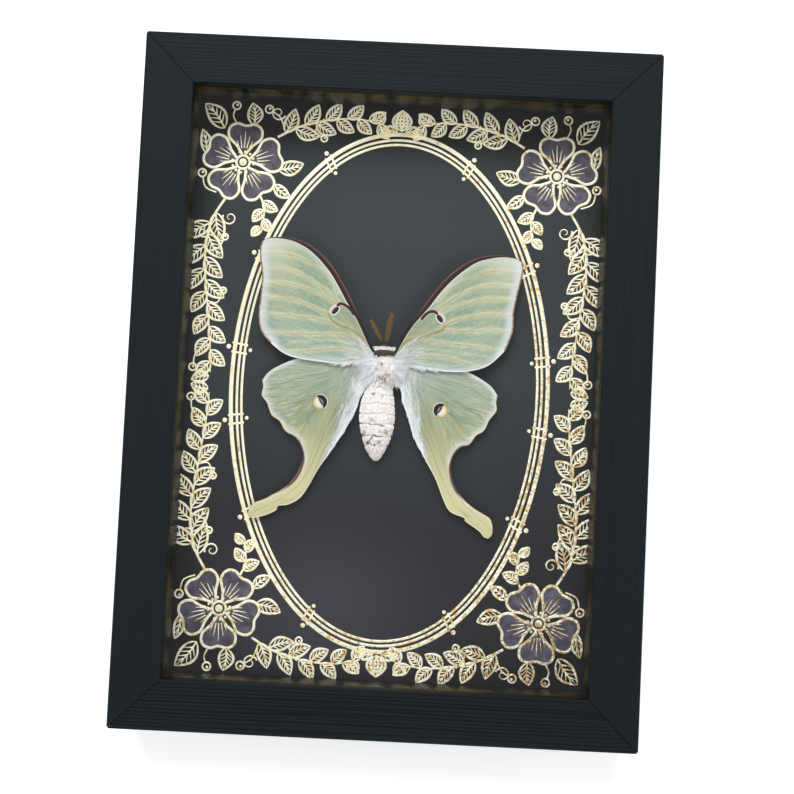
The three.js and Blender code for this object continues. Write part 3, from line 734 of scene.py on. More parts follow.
def fur_marks(x, y, ragged):
    """How brown and how tan the fur is at a place on the body, with the front of the head brown as painted
    shade; ragged (0 to 1) frays the limits.
    """
    fray = (ragged - 0.5) * 0.35
    front = 12.1 - 0.03 * (x + 1.9) ** 2 + fray * 0.6
    back = 10.1 + 0.01 * (x + 1.9) ** 2 + fray * 1.8
    band = np.clip((front - y) / 0.12, 0, 1) * np.clip((y - back) / 0.15, 0, 1)
    # painted shade: the front of the head is laid dark brown, as it lies in shade
    head = np.clip((y - 12.95) / 0.1, 0, 1)
    crack = np.clip(1.5 - nearest_of(CRACKS, np.stack([x, y], axis=-1)) / 0.16, 0, 1) * (ragged > 0.12)
    brown = np.max([band, head * 0.95, spotted(x, y, DARK_SPOTS, ragged) * 0.75, crack * 0.75], axis=0)
    return brown, spotted(x, y, TAN_SPOTS, ragged)


def fur_finish(name, under, over, rough_grain):
    """White fur or furry skin; strand is each hair's tone, brown and tan the marks."""
    fur = Finish(name, Specular_IOR_Level=0.15, Sheen_Weight=0.1)
    at = fur.place()
    strand, brown, tan = (fur.read(mark_name) for mark_name in ("strand", "brown", "tan"))
    drift = fur.noise(at, 0.8, 4.0, 0.65)
    fur.lay(strand.rise(0.1, 0.75), over, under)
    # painted shade: grey patches between the locks of fur
    fur.lay(drift.rise(0.5, 0.66) * 0.4, FUR_PAINTED_SHADE)
    ragged = fur.noise(at, 0.45, 3.0, 0.7).rise(0.34, 0.54)
    fur.lay(tan * ragged * 0.85, RUBBED_TAN)
    flecks = fur.noise(at, 0.4, 1.0).rise(0.5, 0.62) * (0.2 + strand * 0.8)
    flecked = fur.blend(flecks, BAND_BROWN, BAND_FLECK)
    fur.lay(brown.rise(0.1, 0.6) * 0.97, flecked)
    # painted light: the fur glows faintly
    fur.drive(Emission_Color=fur.colour, Emission_Strength=FUR_PAINTED_GLOW)
    fur.surface(0.75 + strand * 0.15, drift, rough_grain)
    return fur


fur_coat = fur_finish("white_fur_coat", FUR_CREAM, FUR_WHITE, 0.02)
fur_silk = fur_finish("silk_hair", SILK_SAGE, SILK_BLUE, 0.02)
furry_skin = fur_finish("furry_skin", FUR_CREAM, FUR_WHITE, 0.45)


def tube(rings):
    """A closed tube through rings of points, with both ends capped."""
    rows, columns = rings.shape[:2]
    shell = Sheetwork()
    shell.add(rings.reshape(-1, 3), grid_faces(rows, columns, closed=True))
    shell.faces += [tuple(range(columns))[::-1], tuple(range((rows - 1) * columns, rows * columns))]
    return shell


angles = np.linspace(0, 2 * np.pi, SKIN_COLUMNS, endpoint=False)
skin = np.stack([body_point(y, angles) for y in np.linspace(*BODY_STATIONS[[0, -1], 0], SKIN_ROWS)])
x, y = skin[..., 0], skin[..., 1]
lump = sum(
    np.sin(x * a + phase + y * 0.7) * np.sin(y * b - phase + x) * size
    for a, b, phase, size in ((2.1, 2.3, 0.4, 0.05), (4.7, 5.1, 1.9, 0.05), (9.3, 8.9, 3.1, 0.035))
)
outward = np.stack([np.cos(angles), 0 * angles, np.sin(angles)], axis=-1)
skin = skin + outward[None] * (lump * (skin[..., 2] > CARD_TOP + 0.3))[..., None]
skin_piece = tube(skin).piece("moth_skin", furry_skin, "white_fur", "moth_body")
skin_brown, skin_tan = fur_marks(skin[..., 0].ravel(), skin[..., 1].ravel(), random.random(x.size))
mark(skin_piece, strand=random.random(x.size), brown=skin_brown, tan=skin_tan)


def hair(name, roots, middles, tips, widths, finish, slot, **marks):
    """Tapering hairs in one mesh, each bent through its middle point."""
    half = unit(np.cross(tips - roots, (0, 0, 1.0))) * (widths / 2)[:, None]
    points = np.stack([roots - half * 0.8, roots + half * 0.8, middles - half, middles + half, tips], axis=1)
    points[..., 2] = np.maximum(points[..., 2], CARD_TOP + 0.03)
    first = np.arange(len(roots))[:, None] * 5
    bundle = Sheetwork()
    bundle.add(points.reshape(-1, 3), [])
    for corners in ((0, 1, 3, 2), (2, 3, 4)):
        bundle.faces += [tuple(face) for face in (first + np.array(corners)).tolist()]
    piece = bundle.piece(name, finish, slot)
    mark(piece, **{key: np.repeat(value, 5) for key, value in marks.items()})


def in_locks(count, each, spread):
    """Numbers for hairs that grow in locks: which lock, the hair's place in it, and what pulls it in."""
    lock = np.repeat(np.arange(count), each)
    place = random.normal(0, spread, (count * each, 2))
    return lock, place, -place * random.uniform(0.55, 1.0, (count * each, 1))


def body_fur(name, low, high, locks, each, spread, length, lift):
    """A coat over the back between two heights of y, lying towards the tail and out over the sides."""
    lock, place, pull = in_locks(locks, each, spread)
    lock_y = random.uniform(low, high, locks)
    lock_angle = random.uniform(0.02, 0.98, locks) * math.pi
    lock_sway = random.normal(0, 0.45, locks)
    lock_tone = random.random(locks)
    lock_length = random.uniform(0.7, 1.25, locks)
    y = np.clip(lock_y[lock] + place[:, 0], low, high)
    angle = lock_angle[lock] + place[:, 1] / 4
    roots = body_point(y, angle)
    outward = np.stack([np.cos(angle), 0 * y, np.sin(angle)], axis=-1)
    around = np.stack([-np.sin(angle), 0 * y, np.cos(angle)], axis=-1)
    lengths = length * lock_length[lock] * random.uniform(0.8, 1.15, len(y))
    lengths *= np.clip((12.0 - y) / 3, 0.35, 1)
    back = np.where(y > 12.25, 0.3, -0.85)
    tilt = lift * random.uniform(0.7, 1.3, len(y))
    flow = outward * tilt[:, None] + np.stack([0 * y, back, 0 * y], axis=-1)
    flow += around * ((lock_sway[lock] + pull[:, 1] / np.maximum(lengths, 0.2))[:, None])
    flow[:, 1] += pull[:, 0] / np.maximum(lengths, 0.2)
    brown, tan = fur_marks(roots[:, 0], roots[:, 1], lock_tone[lock])
    tone = np.clip(lock_tone[lock] * 1.1 + random.uniform(-0.15, 0.25, len(y)), 0, 1)
    widths = random.uniform(0.07, 0.13, len(y))
    reach = unit(flow) * lengths[:, None]
    middles = roots + reach * 0.5 + outward * (lengths * 0.08)[:, None]
    hair(name, roots, middles, roots + reach, widths, fur_coat, "white_fur",
         strand=tone, brown=brown, tan=tan)


body_fur("thorax_fur", 1.6, 12.7, locks=1500, each=16, spread=0.17, length=1.7, lift=0.5)
body_fur("abdomen_fur", -21.0, 2.2, locks=3600, each=6, spread=0.13, length=0.5, lift=0.2)


# The wings
# Thin dry membranes of pale green scales on a fan of veins, set on the thorax: the forewings lie over the
# hindwings. Each is one curved sheet over its outline, with the veins as low ridges.
WING_SHEET = 0.16
WING_FALL = 13.0
PLEAT = 0.14
FOREWING_GRID = (170, 150)
# The wings' points were picked on enlarged views, turned into millimetres, and the outlines moved by
# the offsets measured at the wings' edges. A separate program turned them into millimetres and moved the
# outlines by the offsets that it had measured at the wings' edges.
FOREWINGS = {
    "left": {
        "root": [(-4.6, 12.0), (-4.4, 8.4)],
        "lead": [(-5.5, 12.4), (-9.1, 20.0), (-13.5, 28.8), (-18.7, 36.9), (-24.3, 42.0), (-30.5, 44.6),
                 (-36.3, 44.9), (-39.2, 44.3)],
        "tip": (-40.8, 43.2),
        "margin": [(-41.2, 41.0), (-41.0, 38.0), (-40.1, 32.6), (-40.3, 27.1), (-40.6, 21.2), (-39.7, 16.3)],
        "heel": (-36.7, 12.7),
        "trail": [(-8.5, 8.5), (-14.5, 7.2), (-21.2, 7.5), (-27.5, 8.2), (-32.2, 9.5)],
        "stem": [(-6.0, 12.8), (-9.9, 16.2), (-13.4, 18.1), (-16.2, 19.0), (-18.2, 20.3), (-19.2, 21.9)],
        "veins": [
            [(-17.2, 28.6), (-18.6, 32.7), (-23.2, 35.9), (-28.4, 38.5), (-33.0, 39.7), (-36.4, 40.1),
             (-41.0, 39.9)],
            [(-16.9, 26.0), (-18.2, 27.4), (-21.8, 30.0), (-26.4, 32.7), (-31.1, 35.1), (-35.6, 35.9),
             (-40.8, 35.7)],
            [(-17.2, 25.6), (-22.6, 28.3), (-28.0, 30.1), (-32.0, 30.9), (-35.4, 31.2), (-40.6, 30.8)],
            [(-19.2, 21.9), (-22.6, 23.5), (-26.6, 25.0), (-30.9, 26.0), (-35.7, 26.7), (-40.6, 26.7)],
            [(-17.0, 19.4), (-20.8, 20.2), (-25.8, 20.8), (-32.0, 21.2), (-36.3, 21.4), (-40.8, 21.2)],
            [(-9.9, 16.0), (-13.5, 16.1), (-19.1, 16.0), (-24.7, 15.8), (-30.3, 15.8), (-36.0, 15.7),
             (-39.2, 15.2)],
            [(-6.3, 10.4), (-10.5, 11.0), (-14.7, 11.6), (-18.9, 11.6), (-25.9, 10.6), (-33.0, 9.9)],
        ],
        "faint": [[(-7.8, 12.6), (-12.0, 13.4), (-17.7, 14.3), (-23.2, 14.0), (-30.8, 13.0)]],
        "stalk": [(-16.7, 24.9), (-16.1, 25.4), (-15.2, 25.3), (-14.0, 24.7), (-12.8, 23.7), (-11.8, 22.4)],
        "spot": (-17.4, 23.25), "spot_turn": 49, "outward": 1,
    },
    "right": {
        "root": [(0.9, 11.4), (0.6, 7.8)],
        "lead": [(1.7, 13.1), (4.2, 18.4), (8.6, 25.4), (13.0, 31.9), (18.1, 37.4), (24.1, 41.2),
                 (30.6, 42.4), (35.5, 42.0), (37.6, 41.2)],
        "tip": (38.6, 40.1),
        "margin": [(38.9, 38.2), (38.3, 34.4), (37.4, 30.3), (36.6, 24.8), (36.5, 19.4)],
        "heel": (34.5, 13.6),
        "trail": [(5.0, 7.6), (9.6, 7.0), (16.6, 6.3), (23.6, 6.7), (29.6, 8.8)],
        "stem": [(2.0, 12.2), (4.5, 14.9), (7.2, 15.8), (9.2, 16.0), (11.9, 17.5), (14.7, 18.6),
                 (16.0, 20.1)],
        "veins": [
            [(13.6, 28.0), (16.6, 31.4), (21.0, 34.2), (25.1, 36.0), (29.2, 37.4), (33.4, 37.7),
             (38.9, 37.2)],
            [(13.6, 25.2), (16.8, 27.8), (21.4, 30.6), (26.6, 32.9), (30.8, 33.6), (38.4, 33.2)],
            [(14.0, 23.8), (17.1, 25.5), (22.1, 27.3), (28.2, 28.9), (32.4, 29.2), (37.6, 29.0)],
            [(15.2, 19.9), (19.0, 22.1), (23.4, 23.3), (28.4, 24.4), (32.6, 24.5), (37.0, 24.6)],
            [(11.9, 17.5), (15.2, 18.8), (20.2, 18.9), (25.8, 19.1), (31.4, 19.6), (36.6, 19.2)],
            [(9.2, 16.0), (12.6, 15.2), (17.6, 14.8), (23.2, 14.5), (28.9, 14.0), (34.8, 13.2)],
            [(2.4, 11.0), (7.4, 10.8), (12.2, 10.9), (17.8, 10.5), (22.9, 9.2), (27.3, 8.0)],
        ],
        "faint": [[(3.7, 12.8), (9.3, 12.8), (14.9, 12.7), (21.9, 12.1), (29.0, 11.4)]],
        "stalk": [(13.3, 23.8), (12.5, 24.3), (11.2, 24.2), (9.9, 23.3), (8.9, 22.0)],
        "spot": (14.25, 22.25), "spot_turn": 128, "outward": -1,
    },
}


def patch(near, far, first, last, rows, columns):
    """Points of a sheet between four edges (Coons): rows run along near and far, columns across."""
    along, across = np.meshgrid(np.linspace(0, 1, rows), np.linspace(0, 1, columns), indexing="ij")
    a, b = across[..., None], along[..., None]
    points = near.at(along) * (1 - a) + far.at(along) * a + first.at(across) * (1 - b) + last.at(across) * b
    near_corners = near.at(0) * (1 - a) * (1 - b) + near.at(1) * (1 - a) * b
    far_corners = far.at(0) * a * (1 - b) + far.at(1) * a * b
    return points - near_corners - far_corners, across, along


def settle(near, far, distance):
    """Height of a wing that leaves the thorax high and levels out above the card."""
    return far + (near - far) * np.exp(-distance / WING_FALL)


def wing_sheet(wing, points, top, finish, marks):
    """A closed thin sheet with its upper side at the given heights; gives back its upper points."""
    rows, columns = top.shape
    upper = np.dstack([points, top]).reshape(-1, 3)
    quads = grid_faces(rows, columns)
    index = np.arange(rows * columns).reshape(rows, columns)
    rim = np.concatenate([index[0, :-1], index[:-1, -1], index[-1, :0:-1], index[:0:-1, 0]])
    after = np.roll(rim, -1)
    count = rows * columns
    sides = np.stack([rim, after, after + count, rim + count], axis=-1)
    sheet = Sheetwork()
    faces = np.vstack([quads, quads[:, ::-1] + count, sides[:, ::-1]])
    sheet.add(np.vstack([upper, upper - (0, 0, WING_SHEET)]), faces)
    piece = sheet.piece(f"{wing}_scaled", finish, "green_wing", wing)
    for key, value in marks.items():
        value = value.reshape(count, -1) if value.ndim == 3 else value.ravel()
        mark(piece, **{key: np.concatenate([value, value])})
    return upper.reshape(rows, columns, 3)


MINT = srgb(148, 166, 136)
TEAL = srgb(120, 150, 128)
TEAL_DARK = srgb(104, 142, 128)
MINT_BLUE = srgb(164, 184, 172)
ROOT_OLIVE = srgb(160, 156, 112)
APEX_CREAM = srgb(212, 215, 198)
MINT_PALE = srgb(184, 200, 182)
SCALE_STRAW = srgb(206, 204, 168)
VEIN_CREAM = srgb(218, 211, 172)
VEIN_CORE = srgb(122, 108, 76)
STEM_OLIVE = srgb(146, 136, 98)
LILAC_WHITE = srgb(220, 226, 230)
WING_WHITE = srgb(238, 240, 240)
MAROON = srgb(62, 34, 28)
MAROON_DARK = srgb(34, 17, 15)
MAROON_SHINE = srgb(132, 106, 104)
MARGIN_GOLD = srgb(150, 112, 62)
SPOT_BLACK = srgb(28, 20, 21)
SPOT_GREY = srgb(92, 76, 76)
SPOT_PINK = srgb(224, 204, 190)
SPOT_YELLOW = srgb(206, 196, 124)
HEART_WHITE = srgb(232, 220, 216)


class Scales(Finish):
    """The scales of a wing, with their powder and the lines that run out from its root."""

    def __init__(self, name, *stored):
        super().__init__(name, Specular_IOR_Level=0.2, Sheen_Weight=0.08)
        self.at = self.place()
        self.weave = self.read("weave", "Vector")
        self.powder = self.noise(self.at, 0.34, 3.0, 0.75)
        self.stored = [self.read(each) for each in stored]

    def lines(self, across, along, detail=3.0, roughness=0.65):
        """Noise with so many lines across the wing and so many breaks along it."""
        return self.drawn_out(self.weave, (across, along, 1.0), detail, roughness)


def turned(scales, centre, degrees):
    """Distances from a centre along and across a direction."""
    a = math.radians(degrees)
    x = scales.axis(scales.at, "X") - centre[0]
    y = scales.axis(scales.at, "Y") - centre[1]
    return x * math.cos(a) + y * math.sin(a), y * math.cos(a) - x * math.sin(a)


def oval_distance(along, across, half_length, half_width):
    """1 on the rim of an ellipse, 0 at its middle."""
    return ((along / half_length) ** 2 + (across / half_width) ** 2) ** 0.5


def forewing_finish(side, shape):
    """Mint green with cream veins, a maroon leading band, pale tip and an eyespot on its stalk."""
    scales = Scales(f"forewing_scales_{side}", "margin", "vein", "root", "trail", "band", "costa", "stem",
                    "stalk", "depth")
    margin, vein, root, trail, band, costa, stem, stalk, depth = scales.stored
    powder, streaks, patches = scales.powder, scales.lines(70.0, 4.0), scales.lines(13.0, 4.0, 3.0, 0.6)
    frayed, mottle = scales.lines(30.0, 16.0, 3.0, 0.7), scales.lines(40.0, 22.0, 4.0, 0.75)

    scales.lay(patches.rise(0.36, 0.66) * vein.rise(0.5, 1.8), TEAL, MINT)
    scales.lay(depth.rise(0.62, 0.15) * 0.45, MINT_BLUE)
    scales.lay(mottle.rise(0.53, 0.64) * 0.5, TEAL_DARK)
    scales.lay(mottle.rise(0.47, 0.36) * 0.5, MINT_PALE)
    straw_belt = (margin + frayed * 2).rise(13.5, 11.0) * margin.rise(1.5, 5.0)
    scales.lay(straw_belt * depth * 0.4, SCALE_STRAW)
    scales.lay(patches.rise(0.5, 0.72) * margin.rise(18.0, 5.0) * depth * 0.7, SCALE_STRAW)
    scales.lay(streaks.rise(0.5, 0.72) * 0.4, SCALE_STRAW)
    scales.lay(streaks.rise(0.46, 0.34) * root.rise(30.0, 12.0) * 0.5, TEAL_DARK)
    scales.lay(powder.rise(0.45, 0.7) * 0.35, MINT_PALE)
    scales.lay(powder.rise(0.5, 0.34) * 0.3, TEAL_DARK)
    cream = (vein + frayed * 2.0).rise(2.5, 0.9) * (streaks + mottle * 0.5).rise(0.5, 0.9) * 0.85
    scales.lay(cream, VEIN_CREAM)
    olive = root.rise(26.0, 7.0) * depth.rise(0.3, 0.7) * (0.35 + streaks * 0.8)
    scales.lay(olive * 0.75, ROOT_OLIVE)
    core = (vein + frayed * 0.4).rise(0.46, 0.22) * streaks.rise(0.42, 0.6) * margin.rise(3.0, 10.0)
    scales.lay(core * 0.7, VEIN_CORE)
    scales.lay((stem + frayed * 0.6).rise(1.0, 0.4) * 0.75, STEM_OLIVE)
    scales.lay(costa.rise(4.6, 1.8) * root.rise(14.0, 30.0) * 0.5, APEX_CREAM)
    scales.lay(margin.rise(11.0, 2.0) * depth.rise(0.55, 1.0) * 0.85, APEX_CREAM)
    scales.lay((margin - streaks * 1.8).rise(2.8, 0.0) * 0.75, LILAC_WHITE)
    white_root = root.rise(15.0, 4.0) * depth.rise(0.75, 0.4) * streaks.rise(0.35, 0.65)
    scales.lay(white_root * 0.85, WING_WHITE)
    scales.lay(trail.rise(3.0, 0.4) * streaks.rise(0.3, 0.65) * 0.6, LILAC_WHITE)
    scales.lay(trail.rise(0.6, 0.3) * 0.8, WING_WHITE)
    rim_white = costa.rise(3.0, 2.2) * band.rise(1.3, 1.1) * (0.25 + streaks * 0.6)
    scales.lay(rim_white, LILAC_WHITE)
    scales.lay(margin.rise(0.6, 0.3) * frayed.rise(0.2, 0.55), MARGIN_GOLD)

    along, across = turned(scales, shape["spot"], shape["spot_turn"])
    outward = across * shape["outward"]
    blush = oval_distance(along, outward - 0.55, 1.75, 1.15)
    scales.lay(blush.rise(1.15, 0.85) * 0.9, SPOT_PINK)
    halo = oval_distance(along, outward + 0.12, 1.55, 0.9)
    scales.lay(halo.rise(1.12, 1.0) * outward.rise(0.15, -0.1), LILAC_WHITE)
    pupil = oval_distance(along, outward, 1.38, 0.72)
    scales.lay(pupil.rise(1.08, 0.92), SPOT_BLACK)
    glint = oval_distance(along + 0.1, outward - 0.14, 0.85, 0.3)
    scales.lay(glint.rise(1.2, 0.4) * 0.25, SPOT_GREY)
    scales.lay(stalk.rise(0.62, 0.5) * 0.6, SPOT_PINK)
    scales.lay(stalk.rise(0.5, 0.4), MAROON)

    maroon = scales.blend(band.rise(0.85, 0.4), MAROON_DARK, MAROON)
    maroon = scales.blend(root.rise(22.0, 8.0), maroon, MAROON_DARK)
    shine = band.rise(0.06, 0.16) * band.rise(0.42, 0.28) * streaks.rise(0.3, 0.6) * root.rise(12.0, 20.0)
    maroon = scales.blend(shine * 0.6, maroon, MAROON_SHINE)
    scales.lay(band.rise(1.05, 0.95), maroon)

    relief = powder * 0.4 + streaks * 0.4 + frayed * 0.3
    scales.surface(0.7 + powder * 0.2, relief, 0.07)
    return scales


BAND_WIDTHS = np.array([
    # share of the leading edge, width of the maroon band there
    (0, 0.8), (0.2, 1.15), (0.33, 1.9), (0.58, 2.0), (0.66, 1.75), (0.78, 1.1), (0.9, 0.4), (1, 0.03),
])


def forewing(side):
    shape = FOREWINGS[side]
    lead = Edge([shape["root"][0], *shape["lead"], shape["tip"]])
    trail = Edge([shape["root"][1], *shape["trail"], shape["heel"]])
    margin = Edge([shape["tip"], *shape["margin"], shape["heel"]])
    points, across, along = patch(lead, trail, Edge(shape["root"]), margin, *FOREWING_GRID)
    vein = nearest_of([shape["stem"], *shape["veins"]], points)
    faint = nearest_of(shape["faint"], points)
    from_lead, share = lead.nearest(points)
    from_root = np.hypot(points[..., 0] + 2, points[..., 1] - 10)
    pleat = PLEAT * along * np.sin(across * 6 * np.pi)
    ridge = 0.14 * np.exp(-((vein / 0.35) ** 2)) + 0.16 * np.exp(-((from_lead / 0.7) ** 2))
    top = settle(14.0, 11.6, from_root) + pleat + ridge + 0.17
    marks = {
        "vein": np.minimum(vein, faint + 0.5), "costa": from_lead,
        "band": from_lead / np.interp(share, BAND_WIDTHS[:, 0], BAND_WIDTHS[:, 1]),
        "margin": margin.nearest(points)[0], "trail": trail.nearest(points)[0], "root": from_root,
        "stem": Edge(shape["stem"]).nearest(points)[0], "stalk": Edge(shape["stalk"]).nearest(points)[0],
        "depth": 1 - across, "weave": np.dstack([across, along, 0 * along]),
    }
    return wing_sheet(f"forewing_{side}", points, top, forewing_finish(side, shape), marks)


HINDWINGS = {
    "left": {
        "front": [(-4.6, 2.6), (-5.0, 6.6), (-9.5, 9.6), (-18.0, 10.6), (-26.0, 9.1), (-31.7, 6.9),
                  (-36.5, 4.0), (-38.6, 1.1)],
        "outer": [(-38.6, 1.1), (-38.2, -0.8), (-38.5, -3.3), (-36.8, -5.6), (-35.2, -9.2), (-32.7, -10.9),
                  (-30.7, -13.9), (-27.5, -15.7), (-25.5, -19.2), (-25.0, -22.9), (-26.8, -27.7),
                  (-30.8, -31.6), (-36.0, -34.5), (-39.2, -35.9), (-40.4, -37.6)],
        "end": [(-40.4, -37.6), (-40.9, -39.4), (-39.4, -40.6)],
        "inner": [(-4.6, 2.6), (-8.5, -1.5), (-9.9, -6.6), (-13.1, -13.1), (-16.7, -19.1), (-20.3, -24.9),
                  (-23.0, -30.2), (-25.5, -33.9), (-28.8, -35.9), (-31.8, -36.5), (-32.5, -37.9),
                  (-35.7, -39.5), (-39.4, -40.6)],
        "veins": [
            [(-8.9, 7.8), (-14.3, 6.1), (-19.8, 4.3), (-24.9, 3.2), (-30.7, 1.2), (-37.3, -1.7)],
            [(-10.7, 6.2), (-16.1, 3.8), (-20.0, 1.3), (-24.7, -1.1), (-30.4, -4.2), (-36.3, -6.6)],
            [(-19.5, -0.8), (-23.1, -3.2), (-25.9, -5.9), (-29.0, -9.7), (-31.8, -12.8)],
            [(-21.4, -7.2), (-23.5, -9.5), (-25.8, -14.0), (-26.4, -17.0)],
            [(-12.2, 1.0), (-14.9, -4.3), (-17.6, -10.7), (-20.2, -17.4), (-22.4, -23.7), (-25.4, -29.0),
             (-29.6, -32.8), (-36.0, -36.8), (-40.3, -38.8)],
            [(-11.1, -0.4), (-13.0, -6.8), (-15.9, -13.5), (-19.0, -19.2), (-20.6, -23.6), (-23.2, -29.6),
             (-26.7, -33.4), (-31.3, -35.8), (-35.9, -38.3)],
        ],
        "root": (-4.0, 7.0), "spot": (-20.75, -4.6), "spot_turn": 32,
        "fold": (-31.0, -35.0), "fold_turn": 20,
    },
    "right": {
        "front": [(0.8, 2.6), (1.2, 6.2), (6.0, 8.9), (14.0, 9.4), (20.5, 7.9), (26.4, 5.3), (30.7, 2.6),
                  (32.8, -0.2)],
        "outer": [(32.8, -0.2), (32.5, -2.2), (32.7, -4.8), (30.7, -7.6), (29.2, -10.9), (26.8, -12.6),
                  (25.0, -15.3), (22.3, -16.3), (20.1, -19.5), (19.6, -24.0), (21.4, -29.0), (25.3, -33.2),
                  (29.5, -35.7), (32.1, -37.2), (33.0, -39.4)],
        "end": [(33.0, -39.4), (33.0, -42.0), (31.9, -43.3)],
        "inner": [(0.8, 2.6), (3.4, 0.7), (4.2, -3.0), (6.1, -7.9), (8.3, -14.1), (12.0, -20.6),
                  (15.5, -26.8), (17.9, -32.4), (20.1, -35.8), (24.3, -37.4), (24.9, -38.5), (28.9, -41.1),
                  (30.5, -42.8), (31.9, -43.3)],
        "veins": [
            [(4.1, 5.3), (10.9, 4.7), (19.7, 3.0), (25.1, 1.4), (29.7, -1.4), (32.6, -3.2)],
            [(6.1, 3.9), (11.1, 2.2), (16.1, -0.0), (21.5, -3.0), (27.3, -6.5), (30.6, -9.0)],
            [(13.9, -1.1), (17.8, -3.9), (21.0, -8.7), (25.7, -12.2)],
            [(16.1, -8.1), (18.9, -12.5), (20.6, -16.2)],
            [(7.4, -0.2), (11.4, -5.0), (13.5, -10.5), (16.1, -17.2), (17.9, -22.7), (19.6, -27.5),
             (23.6, -32.6), (28.3, -36.8), (32.5, -40.4)],
            [(7.2, -4.4), (10.1, -10.7), (13.5, -17.3), (16.4, -23.9), (18.9, -29.1), (21.3, -33.4),
             (25.3, -37.0), (29.9, -40.9), (31.5, -43.0)],
        ],
        "root": (1.0, 6.5), "spot": (15.85, -5.45), "spot_turn": 148,
        "fold": (24.6, -36.2), "fold_turn": -30,
    },
}

LEAF_GREEN = srgb(160, 169, 134)
LEAF_DEEP = srgb(130, 150, 126)
STRAW = srgb(196, 193, 146)
OLIVE_STREAK = srgb(118, 122, 86)
PALE_STREAK = srgb(204, 208, 184)
TAIL_STRAW = srgb(212, 207, 160)
STREAK_BROWN = srgb(150, 130, 86)
BLUE_GREY = srgb(202, 211, 215)
ROOT_BLUE = srgb(150, 170, 176)
EDGE_CREAM = srgb(232, 224, 200)
EDGE_GOLD = srgb(198, 172, 116)
EDGE_MAROON = srgb(92, 54, 44)


def hindwing_finish(side, shape):
    """Sage green with a fan of hair streaks, a white inner side, straw tail and a ringed eyespot."""
    scales = Scales(f"hindwing_scales_{side}", "outer", "inner", "front", "vein", "root", "tail", "bay")
    outer, inner, front, vein, root, tail, bay = scales.stored
    powder, streaks, patches = scales.powder, scales.lines(58.0, 5.0), scales.lines(12.0, 4.0, 3.0, 0.6)
    threads, mottle = scales.lines(130.0, 7.0, 2.0, 0.6), scales.lines(50.0, 20.0, 4.0, 0.75)

    scales.lay(patches.rise(0.36, 0.64), LEAF_DEEP, LEAF_GREEN)
    scales.lay(front.rise(17.0, 2.0) * 0.6, MINT_BLUE)
    scales.lay(streaks.rise(0.46, 0.66) * (0.35 + tail * 0.5) * mottle.rise(0.3, 0.6), STRAW)
    scales.lay(mottle.rise(0.55, 0.7) * 0.35, PALE_STREAK)
    shaded = streaks.rise(0.46, 0.36) * (1 - tail * 0.7) * mottle.rise(0.25, 0.6)
    scales.lay(shaded * 0.55, OLIVE_STREAK)
    scales.lay(threads.rise(0.52, 0.66) * 0.6, PALE_STREAK)
    scales.lay(threads.rise(0.46, 0.34) * (1 - tail * 0.6) * 0.55, OLIVE_STREAK)
    scales.lay(powder.rise(0.45, 0.7) * 0.25, MINT_PALE)
    scales.lay(powder.rise(0.5, 0.34) * 0.25, OLIVE_STREAK)
    combed = threads.rise(0.5, 0.66) * inner.rise(14.0, 6.0) * root.rise(5.0, 10.0) * root.rise(40.0, 25.0)
    scales.lay(combed * 0.55, STREAK_BROWN)
    lower = scales.axis(scales.at, "Y").rise(-6.0, -18.0)
    scales.lay(lower * (0.25 + streaks * 0.35), STRAW)
    scales.lay(tail * (0.65 + streaks * 0.3), TAIL_STRAW)
    scales.lay(root.rise(19.0, 6.0) * mottle.rise(0.35, 0.6) * 0.45, ROOT_BLUE)
    broken = (vein + threads * 0.3).rise(0.46, 0.2) * streaks.rise(0.38, 0.56) * (1 - tail * 0.6)
    scales.lay(broken * 0.75, STREAK_BROWN)
    scales.lay(root.rise(17.0, 4.0) * threads.rise(0.35, 0.65) * 0.75, BLUE_GREY)
    white_side = (inner - threads * 2.0).rise(2.0, 0.0) * root.rise(27.0, 14.0)
    scales.lay(white_side * 0.85, BLUE_GREY)
    scales.lay(inner.rise(0.5, 0.2) * 0.6, EDGE_CREAM)
    scales.lay((outer - streaks * 2.4).rise(1.3, -1.0) * (1 - tail * 0.8) * 0.62, LILAC_WHITE)
    scales.lay(front.rise(1.6, 0.2) * (0.3 + streaks * 0.6), WING_WHITE)
    scales.lay(outer.rise(0.75, 0.4) * 0.8, EDGE_CREAM)
    scales.lay(outer.rise(0.4, 0.2) * (1 - bay) * mottle.rise(0.35, 0.55) * 0.7, EDGE_GOLD)
    scales.lay((outer + mottle * 0.3).rise(0.8, 0.4) * bay * 0.95, EDGE_MAROON)
    fold = oval_distance(*turned(scales, shape["fold"], shape["fold_turn"]), 2.6, 0.8)
    scales.lay(fold.rise(1.1, 0.5) * powder.rise(0.5, 0.62) * 0.7, STREAK_BROWN)

    along, across = turned(scales, shape["spot"], shape["spot_turn"])
    disc_rim = oval_distance(along, across, 2.25, 2.25)
    heart = oval_distance(along + 0.1, across, 1.35, 1.5)
    scales.lay(disc_rim.rise(1.14, 1.04) * along.rise(-0.6, 0.8) * 0.85, LILAC_WHITE)
    scales.lay(disc_rim.rise(1.02, 0.96), STREAK_BROWN)
    scales.lay(disc_rim.rise(0.93, 0.87), SPOT_YELLOW)
    scales.lay(disc_rim.rise(1.0, 0.92) * along.rise(-0.05, 0.3), SPOT_BLACK)
    scales.lay(heart.rise(1.02, 0.9) * along.rise(0.45, 0.15), HEART_WHITE)
    slit = oval_distance(along - 0.16, across, 0.24, 1.3)
    scales.lay(slit.rise(1.15, 0.7) * 0.85, SPOT_BLACK)
    glint = oval_distance(along - 0.72, across, 0.14, 0.9)
    scales.lay(glint.rise(1.3, 0.6) * 0.6, SPOT_PINK)

    relief = powder * 0.3 + streaks * 0.5 + threads * 0.3
    scales.surface(0.7 + powder * 0.2, relief, 0.09)
    return scales


STREAK_TURN = 0.3
HINDWING_GRID = (240, 110)


